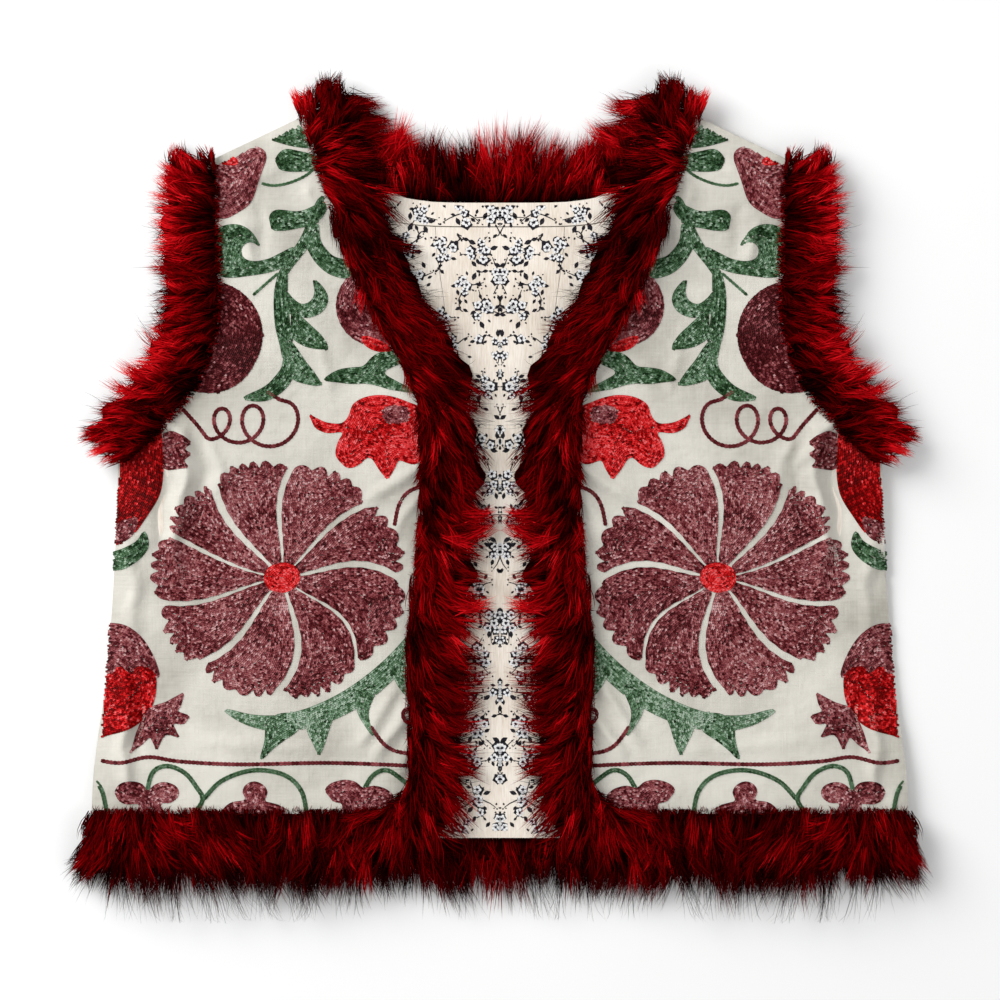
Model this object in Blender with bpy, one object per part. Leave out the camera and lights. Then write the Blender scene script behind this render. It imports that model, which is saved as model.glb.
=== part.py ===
"""Fur-trimmed folk vest, laid flat on its back with both fronts folded over the lining.

The garment is drawn in millimetres with x = 0 on the centre line and y = 0 at the hem, and every
height is above the surface it lies on. The cloth pieces are walls: a grid sheet that follows the
cut, lifted by the drape, with a Solidify modifier. The fur strips are plain solids of the hair's
reach, lofted through rings along the edge that each strip is sewn to. The left pieces are the ones
at negative x, and each right piece is the left one turned over the centre line.
"""

from collections import namedtuple
from math import cos, pi, sin, sqrt

import bmesh
import bpy
import numpy as np

MM = 0.001

# ---- driving sizes, in millimetres ---------------------------------------------------------

LENGTH_FRONT = 498.0  # shoulder at the neck, above the hem
SHOULDER_NECK_X = 117.6
SHOULDER_TIP_X = 212.0
SHOULDER_TIP_Y = 453.0
NECK_BACK_Y = 432.0  # back neck on the centre line
NECK_POWER = 5.0  # how square the back neck is
UNDERARM_Y = 276.0
CORNER_RADIUS = 47.0  # rounded corner of each front at the hem
CORNER_X = 88.0

SHELL_WALL = 1.5
LINING_WALL = 1.0
SEAM_GAP = 0.3
LAYER_GAP = 0.6
FUR_GAP = 1.0

FACING_DEPTH = 16.0
LINING_INSET = 6.5  # the lining stops this far inside the side and shoulder seams
SEAM_BAND = 4.5  # width over which a front sinks onto the back at a seam

FUR_OVERLAP = 21.0  # width of each strip that is sewn down on the cloth
FRONT_REACH = 25.0  # how far the hair stands past the cloth's edge
HEM_REACH = 34.0
ARMHOLE_REACH = 27.0
NECK_REACH = 38.0
FRONT_RUN_ON = 24.0  # length of a front's strip along the hem, beside its corner
FUR_HEIGHT = 14.0
UNDER_FUR_LIFT = 6.0  # the back rests this high on the strips sewn to its underside
UNDER_FUR_CREST = 11.0
LIFT_RUN = 100.0  # distance over which the back settles from the strips to the surface

# ---- the cut -------------------------------------------------------------------------------

EdgePoint = namedtuple("EdgePoint", "y x")

# Front edge of a front, from above the rounded corner to the shoulder.
FRONT_EDGE = [
    EdgePoint(y=47, x=41.0),
    EdgePoint(y=110, x=44.5),
    EdgePoint(y=175, x=40.0),
    EdgePoint(y=225, x=35.0),
    EdgePoint(y=265, x=34.0),
    EdgePoint(y=300, x=37.5),
    EdgePoint(y=330, x=49.5),
    EdgePoint(y=361, x=67.0),
    EdgePoint(y=398, x=84.0),
    EdgePoint(y=450, x=102.5),
    EdgePoint(y=LENGTH_FRONT, x=SHOULDER_NECK_X),
]

# Side seam, from the hem to the underarm.
SIDE_EDGE = [
    EdgePoint(y=0, x=278.0),
    EdgePoint(y=50, x=275.5),
    EdgePoint(y=100, x=268.5),
    EdgePoint(y=165, x=263.0),
    EdgePoint(y=225, x=260.0),
    EdgePoint(y=UNDERARM_Y, x=259.0),
]

# Armhole, from the underarm to the shoulder tip.
ARMHOLE_EDGE = [
    EdgePoint(y=UNDERARM_Y, x=259.0),
    EdgePoint(y=296, x=238.5),
    EdgePoint(y=319, x=220.5),
    EdgePoint(y=350, x=211.0),
    EdgePoint(y=395, x=209.0),
    EdgePoint(y=SHOULDER_TIP_Y, x=SHOULDER_TIP_X),
]

# Seam between the lining's centre panel and its side panels.
LINING_SEAM = [
    EdgePoint(y=0, x=50.0),
    EdgePoint(y=120, x=40.0),
    EdgePoint(y=250, x=32.0),
    EdgePoint(y=350, x=35.0),
    EdgePoint(y=440, x=44.0),
]

Fold = namedtuple("Fold", "x0 y0 x1 y1 height width")

# The largest ridges in each front, from (x0, y0) to (x1, y1), as a height and a half width.
FRONT_FOLDS = [
    Fold(x0=251, y0=196, x1=254, y1=112, height=2.0, width=7),
    Fold(x0=204, y0=292, x1=214, y1=208, height=2.2, width=9),
    Fold(x0=192, y0=262, x1=196, y1=222, height=1.2, width=6),
    Fold(x0=150, y0=426, x1=186, y1=398, height=1.4, width=10),
    Fold(x0=64, y0=98, x1=84, y1=70, height=1.4, width=6),
    Fold(x0=262, y0=78, x1=258, y1=46, height=1.6, width=7),
]

# ---- curves --------------------------------------------------------------------------------


def smooth_curve(rows, per_span=6):
    """Points on a Catmull-Rom curve through the (x, y) of the rows, ends included."""
    knots = np.array([(row.x, row.y) for row in rows], float)
    before, after = 2 * knots[0] - knots[1], 2 * knots[-1] - knots[-2]
    knots = np.vstack([before, knots, after])
    points = []
    for k in range(1, len(knots) - 2):
        a, b, c, d = knots[k - 1 : k + 3]
        for t in np.arange(per_span) / per_span:
            bend = (2 * a - 5 * b + 4 * c - d) * t**2 + (3 * b - a - 3 * c + d) * t**3
            points.append(b + 0.5 * (c - a) * t + 0.5 * bend)
    return np.array(points + [knots[-2]])


def x_at(rows, y):
    """Distance from the centre line of a table's curve at the height y."""
    curve = smooth_curve(rows)
    return float(np.interp(y, curve[:, 1], curve[:, 0]))


def front_edge_x(y):
    """The front edge with its corner: a quarter circle up to CORNER_RADIUS, then the table."""
    if y < CORNER_RADIUS:
        return CORNER_X - sqrt(CORNER_RADIUS**2 - (CORNER_RADIUS - y) ** 2)
    return x_at(FRONT_EDGE, y)


def shoulder_y(x):
    """Height of the straight shoulder seam at the distance x from the centre line."""
    share = (abs(x) - SHOULDER_NECK_X) / (SHOULDER_TIP_X - SHOULDER_NECK_X)
    return LENGTH_FRONT + share * (SHOULDER_TIP_Y - LENGTH_FRONT)


def neck_y(x, depth=0.0):
    """Back neck: flat at the centre and rising as a power of x to meet the shoulder seam.
    With a depth it is the facing's lower edge, that much lower and wider."""
    half = SHOULDER_NECK_X + 0.87 * depth
    low = NECK_BACK_Y - depth
    return low + (shoulder_y(half) - low) * (abs(x) / half) ** NECK_POWER


def corner_arc(steps=6):
    """The rounded corner from the hem to the front edge."""
    angles = [0.5 * pi * k / steps for k in range(steps)]
    centre_y = CORNER_RADIUS
    return np.array(
        [(CORNER_X - CORNER_RADIUS * sin(a), centre_y - CORNER_RADIUS * cos(a)) for a in angles]
    )


def along(points, step):
    """The polyline again with points at an even spacing near step."""
    lengths = np.concatenate([[0], np.cumsum(np.hypot(*np.diff(points, axis=0).T))])
    places = np.linspace(0, lengths[-1], max(2, round(lengths[-1] / step) + 1))
    return np.stack([np.interp(places, lengths, points[:, k]) for k in (0, 1)], axis=1)


def extended(points, first=0.0, last=0.0):
    """The polyline with straight runs of these lengths added at its ends."""
    start = points[0] + first * unit(points[0] - points[1])
    end = points[-1] + last * unit(points[-1] - points[-2])
    inner = points[1:-1] if first == 0 and last == 0 else points
    return np.vstack([start[None], inner, end[None]])


def unit(vector):
    return vector / np.hypot(*vector)


# ---- drape ---------------------------------------------------------------------------------


def distance_to(polyline, x, y):
    """Shortest distance in plan from each (x, y) to a polyline."""
    best = np.full(np.shape(x), np.inf)
    for (ax, ay), (bx, by) in zip(polyline[:-1], polyline[1:]):
        dx, dy = bx - ax, by - ay
        t = np.clip(((x - ax) * dx + (y - ay) * dy) / (dx * dx + dy * dy), 0, 1)
        best = np.minimum(best, np.hypot(x - ax - t * dx, y - ay - t * dy))
    return best


def settle(distance):
    """1 over a strip and easing to 0 where the cloth has reached the surface."""
    t = np.clip((distance - FUR_OVERLAP) / LIFT_RUN, 0, 1)
    return 1 - t * t * (3 - 2 * t)


ARMHOLE_CURVE = smooth_curve(ARMHOLE_EDGE)
NECK_CURVE = np.array([(x, neck_y(x)) for x in np.linspace(0, SHOULDER_NECK_X, 14)])


def lift(x, y):
    """Height of the back's underside: UNDER_FUR_LIFT over the strips at the hem, armholes and
    neck, the surface between them, and the smooth union of the three where they meet."""
    x, y = np.abs(np.asarray(x, float)), np.asarray(y, float)
    past_armhole = (y > UNDERARM_Y) & (x > np.interp(y, *ARMHOLE_CURVE[:, ::-1].T))
    past_neck = (x < SHOULDER_NECK_X) & (y > neck_y(x))
    near_armhole = np.where(past_armhole, 0, distance_to(ARMHOLE_CURVE, x, y))
    near_neck = np.where(past_neck, 0, distance_to(NECK_CURVE, x, y))
    clear = 1 - settle(np.maximum(y, 0))
    for near in (near_armhole, near_neck):
        clear = clear * (1 - settle(near))
    return UNDER_FUR_LIFT * (1 - clear)


def folds(x, y):
    """Sum of the ridges of FRONT_FOLDS, each a bell across its line that fades at its ends."""
    x, y = np.abs(np.asarray(x, float)), np.asarray(y, float)
    height = np.zeros(np.shape(x))
    for f in FRONT_FOLDS:
        run = np.array([f.x1 - f.x0, f.y1 - f.y0], float)
        size = np.hypot(*run)
        t = ((x - f.x0) * run[0] + (y - f.y0) * run[1]) / size**2
        off = ((x - f.x0) * run[1] - (y - f.y0) * run[0]) / size
        ends = np.clip(np.minimum(t + 0.25, 1.25 - t) / 0.4, 0, 1)
        height += f.height * np.exp(-((off / f.width) ** 2)) * ends * ends * (3 - 2 * ends)
    return height


LINING_BASE = SHELL_WALL + LAYER_GAP
FRONT_BASE = LINING_BASE + LINING_WALL + LAYER_GAP
FRONT_TOP = FRONT_BASE + SHELL_WALL
FUR_BASE = FRONT_TOP + FUR_GAP


def back_height(x, y):
    return lift(x, y)


def lining_height(x, y):
    return lift(x, y) + LINING_BASE


def front_height(x, y):
    """A front lies on the lining, and sinks onto the back along the side and shoulder seams."""
    x, y = np.abs(np.asarray(x, float)), np.asarray(y, float)
    side = np.interp(y, *smooth_curve(SIDE_EDGE)[:, ::-1].T) - x
    to_side = np.where(y < UNDERARM_Y, side, np.inf)
    to_shoulder = np.maximum(shoulder_y(x) - y, 0) * 0.9
    inside = np.clip(np.minimum(to_side, to_shoulder) / SEAM_BAND, 0, 1)
    rise = inside * inside * (3 - 2 * inside)
    sunk = SHELL_WALL + LAYER_GAP
    return lift(x, y) + sunk + rise * (FRONT_BASE - sunk + folds(x, y))


# ---- finishes ------------------------------------------------------------------------------

Finish = namedtuple("Finish", "colour roughness")

FINISHES = {
    "cream_cotton": Finish(colour=(0.74, 0.70, 0.62), roughness=0.85),
    "printed_lining": Finish(colour=(0.72, 0.64, 0.53), roughness=0.65),
    "red_fur": Finish(colour=(0.22, 0.008, 0.012), roughness=0.6),
}


def finish(name):
    found = bpy.data.materials.get(name)
    if found:
        return found
    material = bpy.data.materials.new(name)
    material.use_nodes = True
    shader = material.node_tree.nodes["Principled BSDF"]
    shader.inputs["Base Color"].default_value = (*FINISHES[name].colour, 1)
    shader.inputs["Roughness"].default_value = FINISHES[name].roughness
    shader.inputs["Metallic"].default_value = 0.0
    return material


# ---- building ------------------------------------------------------------------------------


def add_object(name, points, faces, finish_name):
    """A mesh object from points in millimetres, with its faces pointing one way."""
    mesh = bpy.data.meshes.new(name)
    mesh.from_pydata([tuple(float(v) * MM for v in p) for p in points], [], faces)
    mesh.materials.append(finish(finish_name))
    shape = bmesh.new()
    shape.from_mesh(mesh)
    bmesh.ops.recalc_face_normals(shape, faces=shape.faces)
    shape.to_mesh(mesh)
    shape.free()
    made = bpy.data.objects.new(name, mesh)
    bpy.context.scene.collection.objects.link(made)
    return made


def cloth_wall(name, plan, height, wall, finish_name):
    """A cloth piece: plan is a grid of (x, y), rows by columns, laid at height(x, y), and the
    wall grows upwards from it."""
    rows, columns, _ = plan.shape
    heights = height(plan[..., 0], plan[..., 1])
    points = np.dstack([plan, heights]).reshape(-1, 3)
    faces = []
    for r in range(rows - 1):
        for c in range(columns - 1):
            k = r * columns + c
            faces.append((k, k + 1, k + columns + 1, k + columns))
    made = add_object(name, points, faces, finish_name)
    upward = sum(p.normal.z for p in made.data.polygons) > 0
    solid = made.modifiers.new("wall", "SOLIDIFY")
    solid.thickness = wall * MM
    solid.offset = 1.0 if upward else -1.0
    solid.use_even_offset = False
    made.data.shade_smooth()
    return made


def mirrored(plan):
    """A plan turned over the centre line, with its columns reversed."""
    turned = plan[:, ::-1].copy()
    turned[..., 0] *= -1
    return turned


def front_plan(columns=13):
    """Rows from the hem to the shoulder, each a straight line from the front edge to the side
    seam or armhole. The lowest rows follow the rounded corner."""
    corner = [CORNER_RADIUS * (1 - cos(0.5 * pi * k / 5)) for k in range(5)]
    body = list(np.linspace(CORNER_RADIUS, UNDERARM_Y - 5, 11))
    armhole = list(np.linspace(UNDERARM_Y, SHOULDER_TIP_Y - 5, 9))
    outer = corner + body + armhole + [SHOULDER_TIP_Y]
    rise = (LENGTH_FRONT - UNDERARM_Y) / (SHOULDER_TIP_Y - UNDERARM_Y)
    plan = []
    for y in outer:
        y_front = y if y < UNDERARM_Y else UNDERARM_Y + (y - UNDERARM_Y) * rise
        near = np.array([front_edge_x(y_front), y_front])
        far = np.array([x_at(SIDE_EDGE if y < UNDERARM_Y else ARMHOLE_EDGE, y), y])
        # The last column is the band that sinks to the seam.
        inner = 1 - SEAM_BAND / np.hypot(*(far - near))
        shares = np.append(np.linspace(0, inner, columns - 1), 1)
        plan.append(near + shares[:, None] * (far - near))
    return np.array(plan) * [-1, 1]


def outer_x(y):
    return x_at(SIDE_EDGE if y < UNDERARM_Y else ARMHOLE_EDGE, y)


def back_rows():
    """Heights of a back piece's rows, measured on its side seam and armhole."""
    return list(np.linspace(0, UNDERARM_Y - 5, 12)) + list(
        np.linspace(UNDERARM_Y, SHOULDER_TIP_Y, 11)
    )


def back_point(x_share, y, inset, top):
    """Place of a back piece's grid point: x_share of the way from the centre line to its outer
    edge, on a row that starts level at the underarm and ends on the top edge top(x)."""
    reach = outer_x(y) - inset
    x = x_share * reach
    climbed = max(0.0, (y - UNDERARM_Y) / (SHOULDER_TIP_Y - UNDERARM_Y))
    top_x = x_share * (SHOULDER_TIP_X - inset)
    return x, y + climbed * (top(top_x) - SHOULDER_TIP_Y)


def top_edge(x):
    """The back's own top: the neck curve between the shoulders, then the shoulder seam."""
    return neck_y(x) if abs(x) < SHOULDER_NECK_X else shoulder_y(x)


def back_plan():
    """The whole back, with a column at each end of the neck."""
    neck_share = SHOULDER_NECK_X / SHOULDER_TIP_X
    inner = neck_share * (1 - (1 - np.linspace(0, 1, 8)) ** 1.4)
    half = list(inner) + list(np.linspace(neck_share, 1, 6)[1:])
    shares = [-s for s in reversed(half[1:])] + half
    rows = [[back_point(s, y, 0.0, top_edge) for s in shares] for y in back_rows()]
    return np.array(rows)


def below_facing(x):
    """Top of the lining's panels: a seam's gap under the facing, and inside the shoulder."""
    under_facing = neck_y(x, FACING_DEPTH) - 2.5 * SEAM_GAP
    under_shoulder = shoulder_y(x) - LINING_INSET
    return min(under_facing, under_shoulder) if abs(x) < 160 else under_shoulder


def lining_plan(side):
    """side 0 is the centre panel, and -1 and 1 are the side panels."""
    plan = []
    for y in back_rows():
        reach = outer_x(y) - LINING_INSET
        seam = x_at(LINING_SEAM, y)
        if side == 0:
            across = np.linspace(-(seam - SEAM_GAP), seam - SEAM_GAP, 7)
        else:
            # Columns are close together beside the neck's curve.
            middle = 0.6 * reach
            across = np.append(np.linspace(seam, middle, 9), np.linspace(middle, reach, 5)[1:])
        row = [back_point(x / reach, y, LINING_INSET, below_facing) for x in across]
        plan.append(row)
    plan = np.array(plan)
    return mirrored(plan) if side == -1 else plan


def facing_plan(columns=25):
    """The neck facing: a band between the neck curve and the same curve FACING_DEPTH lower."""
    shares = np.linspace(-1, 1, columns)
    bent = np.sign(shares) * (1 - (1 - np.abs(shares)) ** 1.3)
    rows = []
    for depth in (FACING_DEPTH, FACING_DEPTH / 2, 0.0):
        half = SHOULDER_NECK_X + 0.87 * depth - LINING_INSET
        rows.append([(s * half, neck_y(s * half, depth)) for s in bent])
    return np.array(rows)


# ---- fur -----------------------------------------------------------------------------------

# Cross-sections of a strip. out is a share of the reach past the cloth's edge, or of the
# overlap where it is negative, and up is a share of the strip's height.
RingPoint = namedtuple("RingPoint", "out up")

UPPER_RING = [  # on a front, over the cloth
    RingPoint(out=-1.0, up=0.25),
    RingPoint(out=-0.8, up=0.75),
    RingPoint(out=-0.1, up=1.0),
    RingPoint(out=0.45, up=0.85),
    RingPoint(out=0.85, up=0.50),
    RingPoint(out=1.0, up=0.12),
]


def ring_places(points):
    """Directions across the path: the plan normal that points away from the cloth."""
    tangents = np.gradient(points, axis=0)
    tangents /= np.hypot(*tangents.T)[:, None]
    return np.stack([tangents[:, 1], -tangents[:, 0]], axis=1)


def ring_loft(name, rings):
    """A closed body through rings of equal count, with a flat fan at each end."""
    count = len(rings[0])
    points = [p for ring in rings for p in ring]
    faces = []
    for r in range(len(rings) - 1):
        for c in range(count):
            k, following = r * count + c, r * count + (c + 1) % count
            faces.append((k, following, following + count, k + count))
    last = (len(rings) - 1) * count
    faces.append(tuple(range(count)))
    faces.append(tuple(last + c for c in range(count)))
    made = add_object(name, points, faces, "red_fur")
    made.data.shade_smooth()
    return made


def end_round(count, k):
    """Shrinks the first and last rings, so that a strip's ends are rounded."""
    from_end = min(k, count - 1 - k)
    return (0.62, 0.9)[from_end] if from_end < 2 else 1.0


def upper_strip(name, path, outward, reach):
    """A strip on a front: its flat underside lies just above the cloth and keeps that height
    past the edge."""
    normals = ring_places(path) * outward
    rings = []
    for k, (place, normal) in enumerate(zip(path, normals)):
        size = end_round(len(path), k)
        low, high = [], []
        for point in UPPER_RING:
            across = point.out * (FUR_OVERLAP if point.out < 0 else reach) * size
            x, y = place + across * normal
            floor = float(lift(x, y)) + FUR_BASE + float(folds(x, y))
            low.append((x, y, floor))
            high.append((x, y, floor + point.up * FUR_HEIGHT * size))
        rings.append(low + high[::-1])
    return ring_loft(name, rings)


def under_strip(name, path, outward, reach):
    """A strip sewn under the back: flat on the surface, pressed to UNDER_FUR_LIFT beneath the
    cloth and standing to UNDER_FUR_CREST past its edge."""
    normals = ring_places(path) * outward
    pressed = UNDER_FUR_LIFT - LAYER_GAP
    shares = ((-1.0, 0.7), (-0.8, 1.0), (-0.05, 1.0))
    rings = []
    for k, (place, normal) in enumerate(zip(path, normals)):
        size = end_round(len(path), k)
        sewn = [(out * FUR_OVERLAP * size, up * pressed) for out, up in shares]
        free = [
            (1.2, pressed),
            (0.3 * reach * size, UNDER_FUR_CREST * size),
            (0.8 * reach * size, 0.7 * UNDER_FUR_CREST * size),
            (reach * size, 0.2 * UNDER_FUR_CREST),
        ]
        profile = sewn + free
        low = [(*(place + across * normal), 0.0) for across, _ in profile]
        high = [(*(place + across * normal), up) for across, up in profile]
        rings.append(low + high[::-1])
    return ring_loft(name, rings)


def left(points):
    return points * [-1, 1]


def front_edge_path():
    """From the hem, round the corner and up to the shoulder, with a run on at both ends."""
    start = [(CORNER_X + FRONT_RUN_ON, 0.0)]
    edge = np.vstack([start, corner_arc(), smooth_curve(FRONT_EDGE, 4)])
    return along(extended(edge, last=20), 21)


def hem_path(from_x, to_x):
    """A straight run along the hem, with closer rings at its rounded ends."""
    count = round((to_x - from_x) / 60)
    inner = np.linspace(from_x + 22, to_x - 22, count)
    across = [from_x, from_x + 8, *inner, to_x - 8, to_x]
    return np.array([(x, 0.0) for x in across])


def armhole_path():
    return along(extended(smooth_curve(ARMHOLE_EDGE, 4), first=15, last=14), 18)


def neck_path():
    half = [(x, neck_y(x)) for x in SHOULDER_NECK_X * (1 - (1 - np.linspace(0, 1, 12)) ** 1.4)]
    points = np.array([(-x, y) for x, y in reversed(half[1:])] + half)
    return along(points, 22)


def build_cloth():
    cloth_wall("back", back_plan(), back_height, SHELL_WALL, "cream_cotton")
    front = front_plan()
    cloth_wall("front_left", front, front_height, SHELL_WALL, "cream_cotton")
    cloth_wall("front_right", mirrored(front), front_height, SHELL_WALL, "cream_cotton")
    for name, side in (("centre", 0), ("left", -1), ("right", 1)):
        plan = lining_plan(side)
        cloth_wall(f"lining_{name}", plan, lining_height, LINING_WALL, "printed_lining")
    cloth_wall("lining_facing", facing_plan(), lining_height, LINING_WALL, "printed_lining")


def build_fur():
    """Each strip, with outward as the side of its path that faces away from the cloth."""
    front, armhole = front_edge_path(), armhole_path()
    joint = front[0][0] + SEAM_GAP  # the front strip turns the corner and ends here
    hem = hem_path(joint, SIDE_EDGE[0].x + 9)
    for side, turn in (("left", -1), ("right", 1)):
        flip = np.array([turn, 1])
        upper_strip(f"fur_front_{side}", front * flip, -turn, FRONT_REACH)
        upper_strip(f"fur_hem_front_{side}", hem * flip, turn, HEM_REACH)
        upper_strip(f"fur_armhole_front_{side}", armhole * flip, turn, ARMHOLE_REACH)
        under_strip(f"fur_armhole_back_{side}", armhole * flip, turn, ARMHOLE_REACH)
    hem_end = SIDE_EDGE[0].x + 9
    under_strip("fur_hem_back", hem_path(-hem_end, hem_end), 1, HEM_REACH)
    under_strip("fur_neck_back", neck_path(), -1, NECK_REACH)


def centre_on_origin():
    """Moves the vest so that the middle of its plan is the origin."""
    bpy.context.view_layer.update()
    corners = np.array(
        [o.matrix_world @ v.co for o in bpy.context.scene.objects for v in o.data.vertices]
    )
    middle = (corners.min(axis=0) + corners.max(axis=0)) / 2
    for made in bpy.context.scene.objects:
        made.location = (-middle[0], -middle[1], 0)


def main():
    for old in list(bpy.data.objects):
        bpy.data.objects.remove(old)
    build_cloth()
    build_fur()
    centre_on_origin()


main()
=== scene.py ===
"""Looks of the fur-trimmed folk vest: its cloth with creases, chain-stitch embroidery, the printed
lining, and the hair of every fur strip.

The garment is drawn in millimetres, with x = 0 on the centre line, y = 0 at the hem and z = 0 on
the surface it lies on. The left pieces are at negative x, and the right half is the left one
turned over the centre line. in_metres() takes the drawing to the frame of the solids.
"""

from collections import namedtuple
from math import pi, radians, sqrt

import bmesh
import bpy
import numpy as np
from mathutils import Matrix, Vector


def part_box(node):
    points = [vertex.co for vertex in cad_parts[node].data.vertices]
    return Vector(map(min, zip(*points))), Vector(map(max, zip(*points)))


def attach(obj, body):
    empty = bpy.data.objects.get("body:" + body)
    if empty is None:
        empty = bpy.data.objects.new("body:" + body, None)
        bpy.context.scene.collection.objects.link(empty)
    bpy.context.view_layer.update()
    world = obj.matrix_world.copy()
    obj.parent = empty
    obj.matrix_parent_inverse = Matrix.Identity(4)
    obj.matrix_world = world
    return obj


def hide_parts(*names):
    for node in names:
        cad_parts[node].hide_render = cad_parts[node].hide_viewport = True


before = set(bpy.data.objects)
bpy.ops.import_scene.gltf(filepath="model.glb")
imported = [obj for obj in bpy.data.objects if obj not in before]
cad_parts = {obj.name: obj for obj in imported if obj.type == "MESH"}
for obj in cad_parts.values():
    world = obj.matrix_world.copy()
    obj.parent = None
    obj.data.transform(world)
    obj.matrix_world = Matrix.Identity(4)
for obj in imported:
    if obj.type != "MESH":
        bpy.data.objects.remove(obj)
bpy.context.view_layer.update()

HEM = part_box("back")[0][1]  # place of the hem's edge in the frame, in metres
MM = 0.001

# ---- meshes --------------------------------------------------------------------------------


def in_metres(points):
    """Points of the drawing, in millimetres, as points of the frame."""
    return np.asarray(points, float) * MM + [0, HEM, 0]


def in_drawing(points):
    """Points of the frame as points of the drawing, in millimetres."""
    return (np.asarray(points, float) - [0, HEM, 0]) / MM


def shown(name, data):
    """A new object of the scene."""
    made = bpy.data.objects.new(name, data)
    bpy.context.scene.collection.objects.link(made)
    return made


def mesh_piece(name, points, faces, uv, slot, look, smooth=True):
    """A piece from points in millimetres and an array of triangles or quads. uv has one row for
    each point."""
    mesh = bpy.data.meshes.new(name)
    count, sides = faces.shape
    mesh.vertices.add(len(points))
    mesh.vertices.foreach_set("co", in_metres(points).astype(np.float32).ravel())
    mesh.loops.add(count * sides)
    mesh.loops.foreach_set("vertex_index", faces.astype(np.int32).ravel())
    mesh.polygons.add(count)
    mesh.polygons.foreach_set("loop_start", np.arange(0, count * sides, sides, dtype=np.int32))
    mesh.polygons.foreach_set("use_smooth", np.full(count, smooth))
    if uv is not None:
        layer = mesh.uv_layers.new(name="OFBake")
        layer.data.foreach_set("uv", uv[faces.ravel()].astype(np.float32).ravel())
    mesh.update(calc_edges=True)
    mesh.validate()
    piece = shown(name, mesh)
    mesh.materials.append(look)
    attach(piece, "root")
    return piece


def turned_over(points):
    """Points over the centre line, for the right half."""
    return np.asarray(points) * [-1, 1, 1]


def both_halves(points, faces, uv=None):
    """The left half's points and faces with the right half's added, its faces turned round so
    that they still point outwards."""
    whole = np.vstack([points, turned_over(points)])
    joined = np.vstack([faces, faces[:, ::-1] + len(points)])
    return whole, joined, None if uv is None else np.vstack([uv, uv])


def joined_parts(parts):
    """Points, faces and uv of several parts as one."""
    points, faces, uvs = zip(*parts)
    before = np.cumsum([0] + [len(group) for group in points[:-1]])
    faces = np.vstack([group + shift for group, shift in zip(faces, before)])
    return np.vstack(points), faces, np.vstack(uvs)


def repeated(pattern, corners, count):
    """Triangles of count shapes with so many corners each, from the triangles of one."""
    shift = corners * np.arange(count)[:, None, None]
    return (np.asarray(pattern)[None] + shift).reshape(-1, 3)


# ---- lines in the plan ---------------------------------------------------------------------


def heading(angle):
    """Unit runs at these angles."""
    return np.stack([np.cos(angle), np.sin(angle)], axis=-1)


def to_left(runs):
    """The runs turned a quarter to the left."""
    return np.stack([-runs[..., 1], runs[..., 0]], axis=-1)


def unit(runs):
    return runs / np.hypot(*runs.T)[:, None]


def distances(path):
    """How far along the path each of its points is."""
    return np.append(0, np.cumsum(np.hypot(*np.diff(path, axis=0).T)))


def places_at(path, s):
    """The path's places at distances s."""
    return np.stack([np.interp(s, distances(path), column) for column in path.T], axis=1)


def even_steps(path, step, closed=False):
    """The path's places at even steps."""
    path = np.vstack([path, path[:1]]) if closed else path
    return places_at(path, np.arange(0, distances(path)[-1], step))


def apart(points, others):
    """Distance of each of the points from each of the others."""
    return np.hypot(*(points[:, None] - others[None]).transpose(2, 0, 1))


def curve_through(knots, per_span=8):
    """Catmull-Rom curve through the knots: each span's cubic, all spans at once."""
    knots = np.asarray(knots, float)
    padded = np.vstack([2 * knots[0] - knots[1], knots, 2 * knots[-1] - knots[-2]])
    a, b, c, d = (padded[k : len(padded) - 3 + k, None] for k in range(4))
    t = (np.arange(per_span) / per_span)[None, :, None]
    body = b + 0.5 * (c - a) * t
    body = body + 0.5 * (2 * a - 5 * b + 4 * c - d) * t**2
    body = body + 0.5 * (3 * b - a - 3 * c + d) * t**3
    return np.vstack([body.reshape(-1, knots.shape[1]), knots[-1:]])


def closed_curve(knots):
    """Smooth closed outline through the knots."""
    knots = np.asarray(knots, float)
    return curve_through(np.vstack([knots[-2:], knots, knots[:2]]))[16:-17]


def inside(points, outline):
    """Even-odd rule: whether a level ray from each point crosses the outline an odd number of
    times."""
    x, y = points[:, :1], points[:, 1:]
    (ax, ay), (bx, by) = outline.T, np.roll(outline, -1, axis=0).T
    rise = np.where(by == ay, 1e-9, by - ay)
    crossed = ((ay > y) != (by > y)) & (x < (bx - ax) * (y - ay) / rise + ax)
    return crossed.sum(axis=1) % 2 == 1


# ---- materials -----------------------------------------------------------------------------


class Wire:
    """A socket in a material. Arithmetic on it adds Math nodes."""

    def __init__(self, look, socket):
        self.look, self.socket = look, socket

    def maths(self, operation, *values):
        return self.look.node("Math", {"operation": operation}, dict(enumerate(values)))

    def __add__(self, other):
        return self.maths("ADD", self, other)

    def __sub__(self, other):
        return self.maths("SUBTRACT", self, other)

    def __rsub__(self, other):
        return self.maths("SUBTRACT", other, self)

    def __mul__(self, other):
        return self.maths("MULTIPLY", self, other)

    __radd__, __rmul__ = __add__, __mul__

    def sine(self):
        return self.maths("SINE", self)


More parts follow.
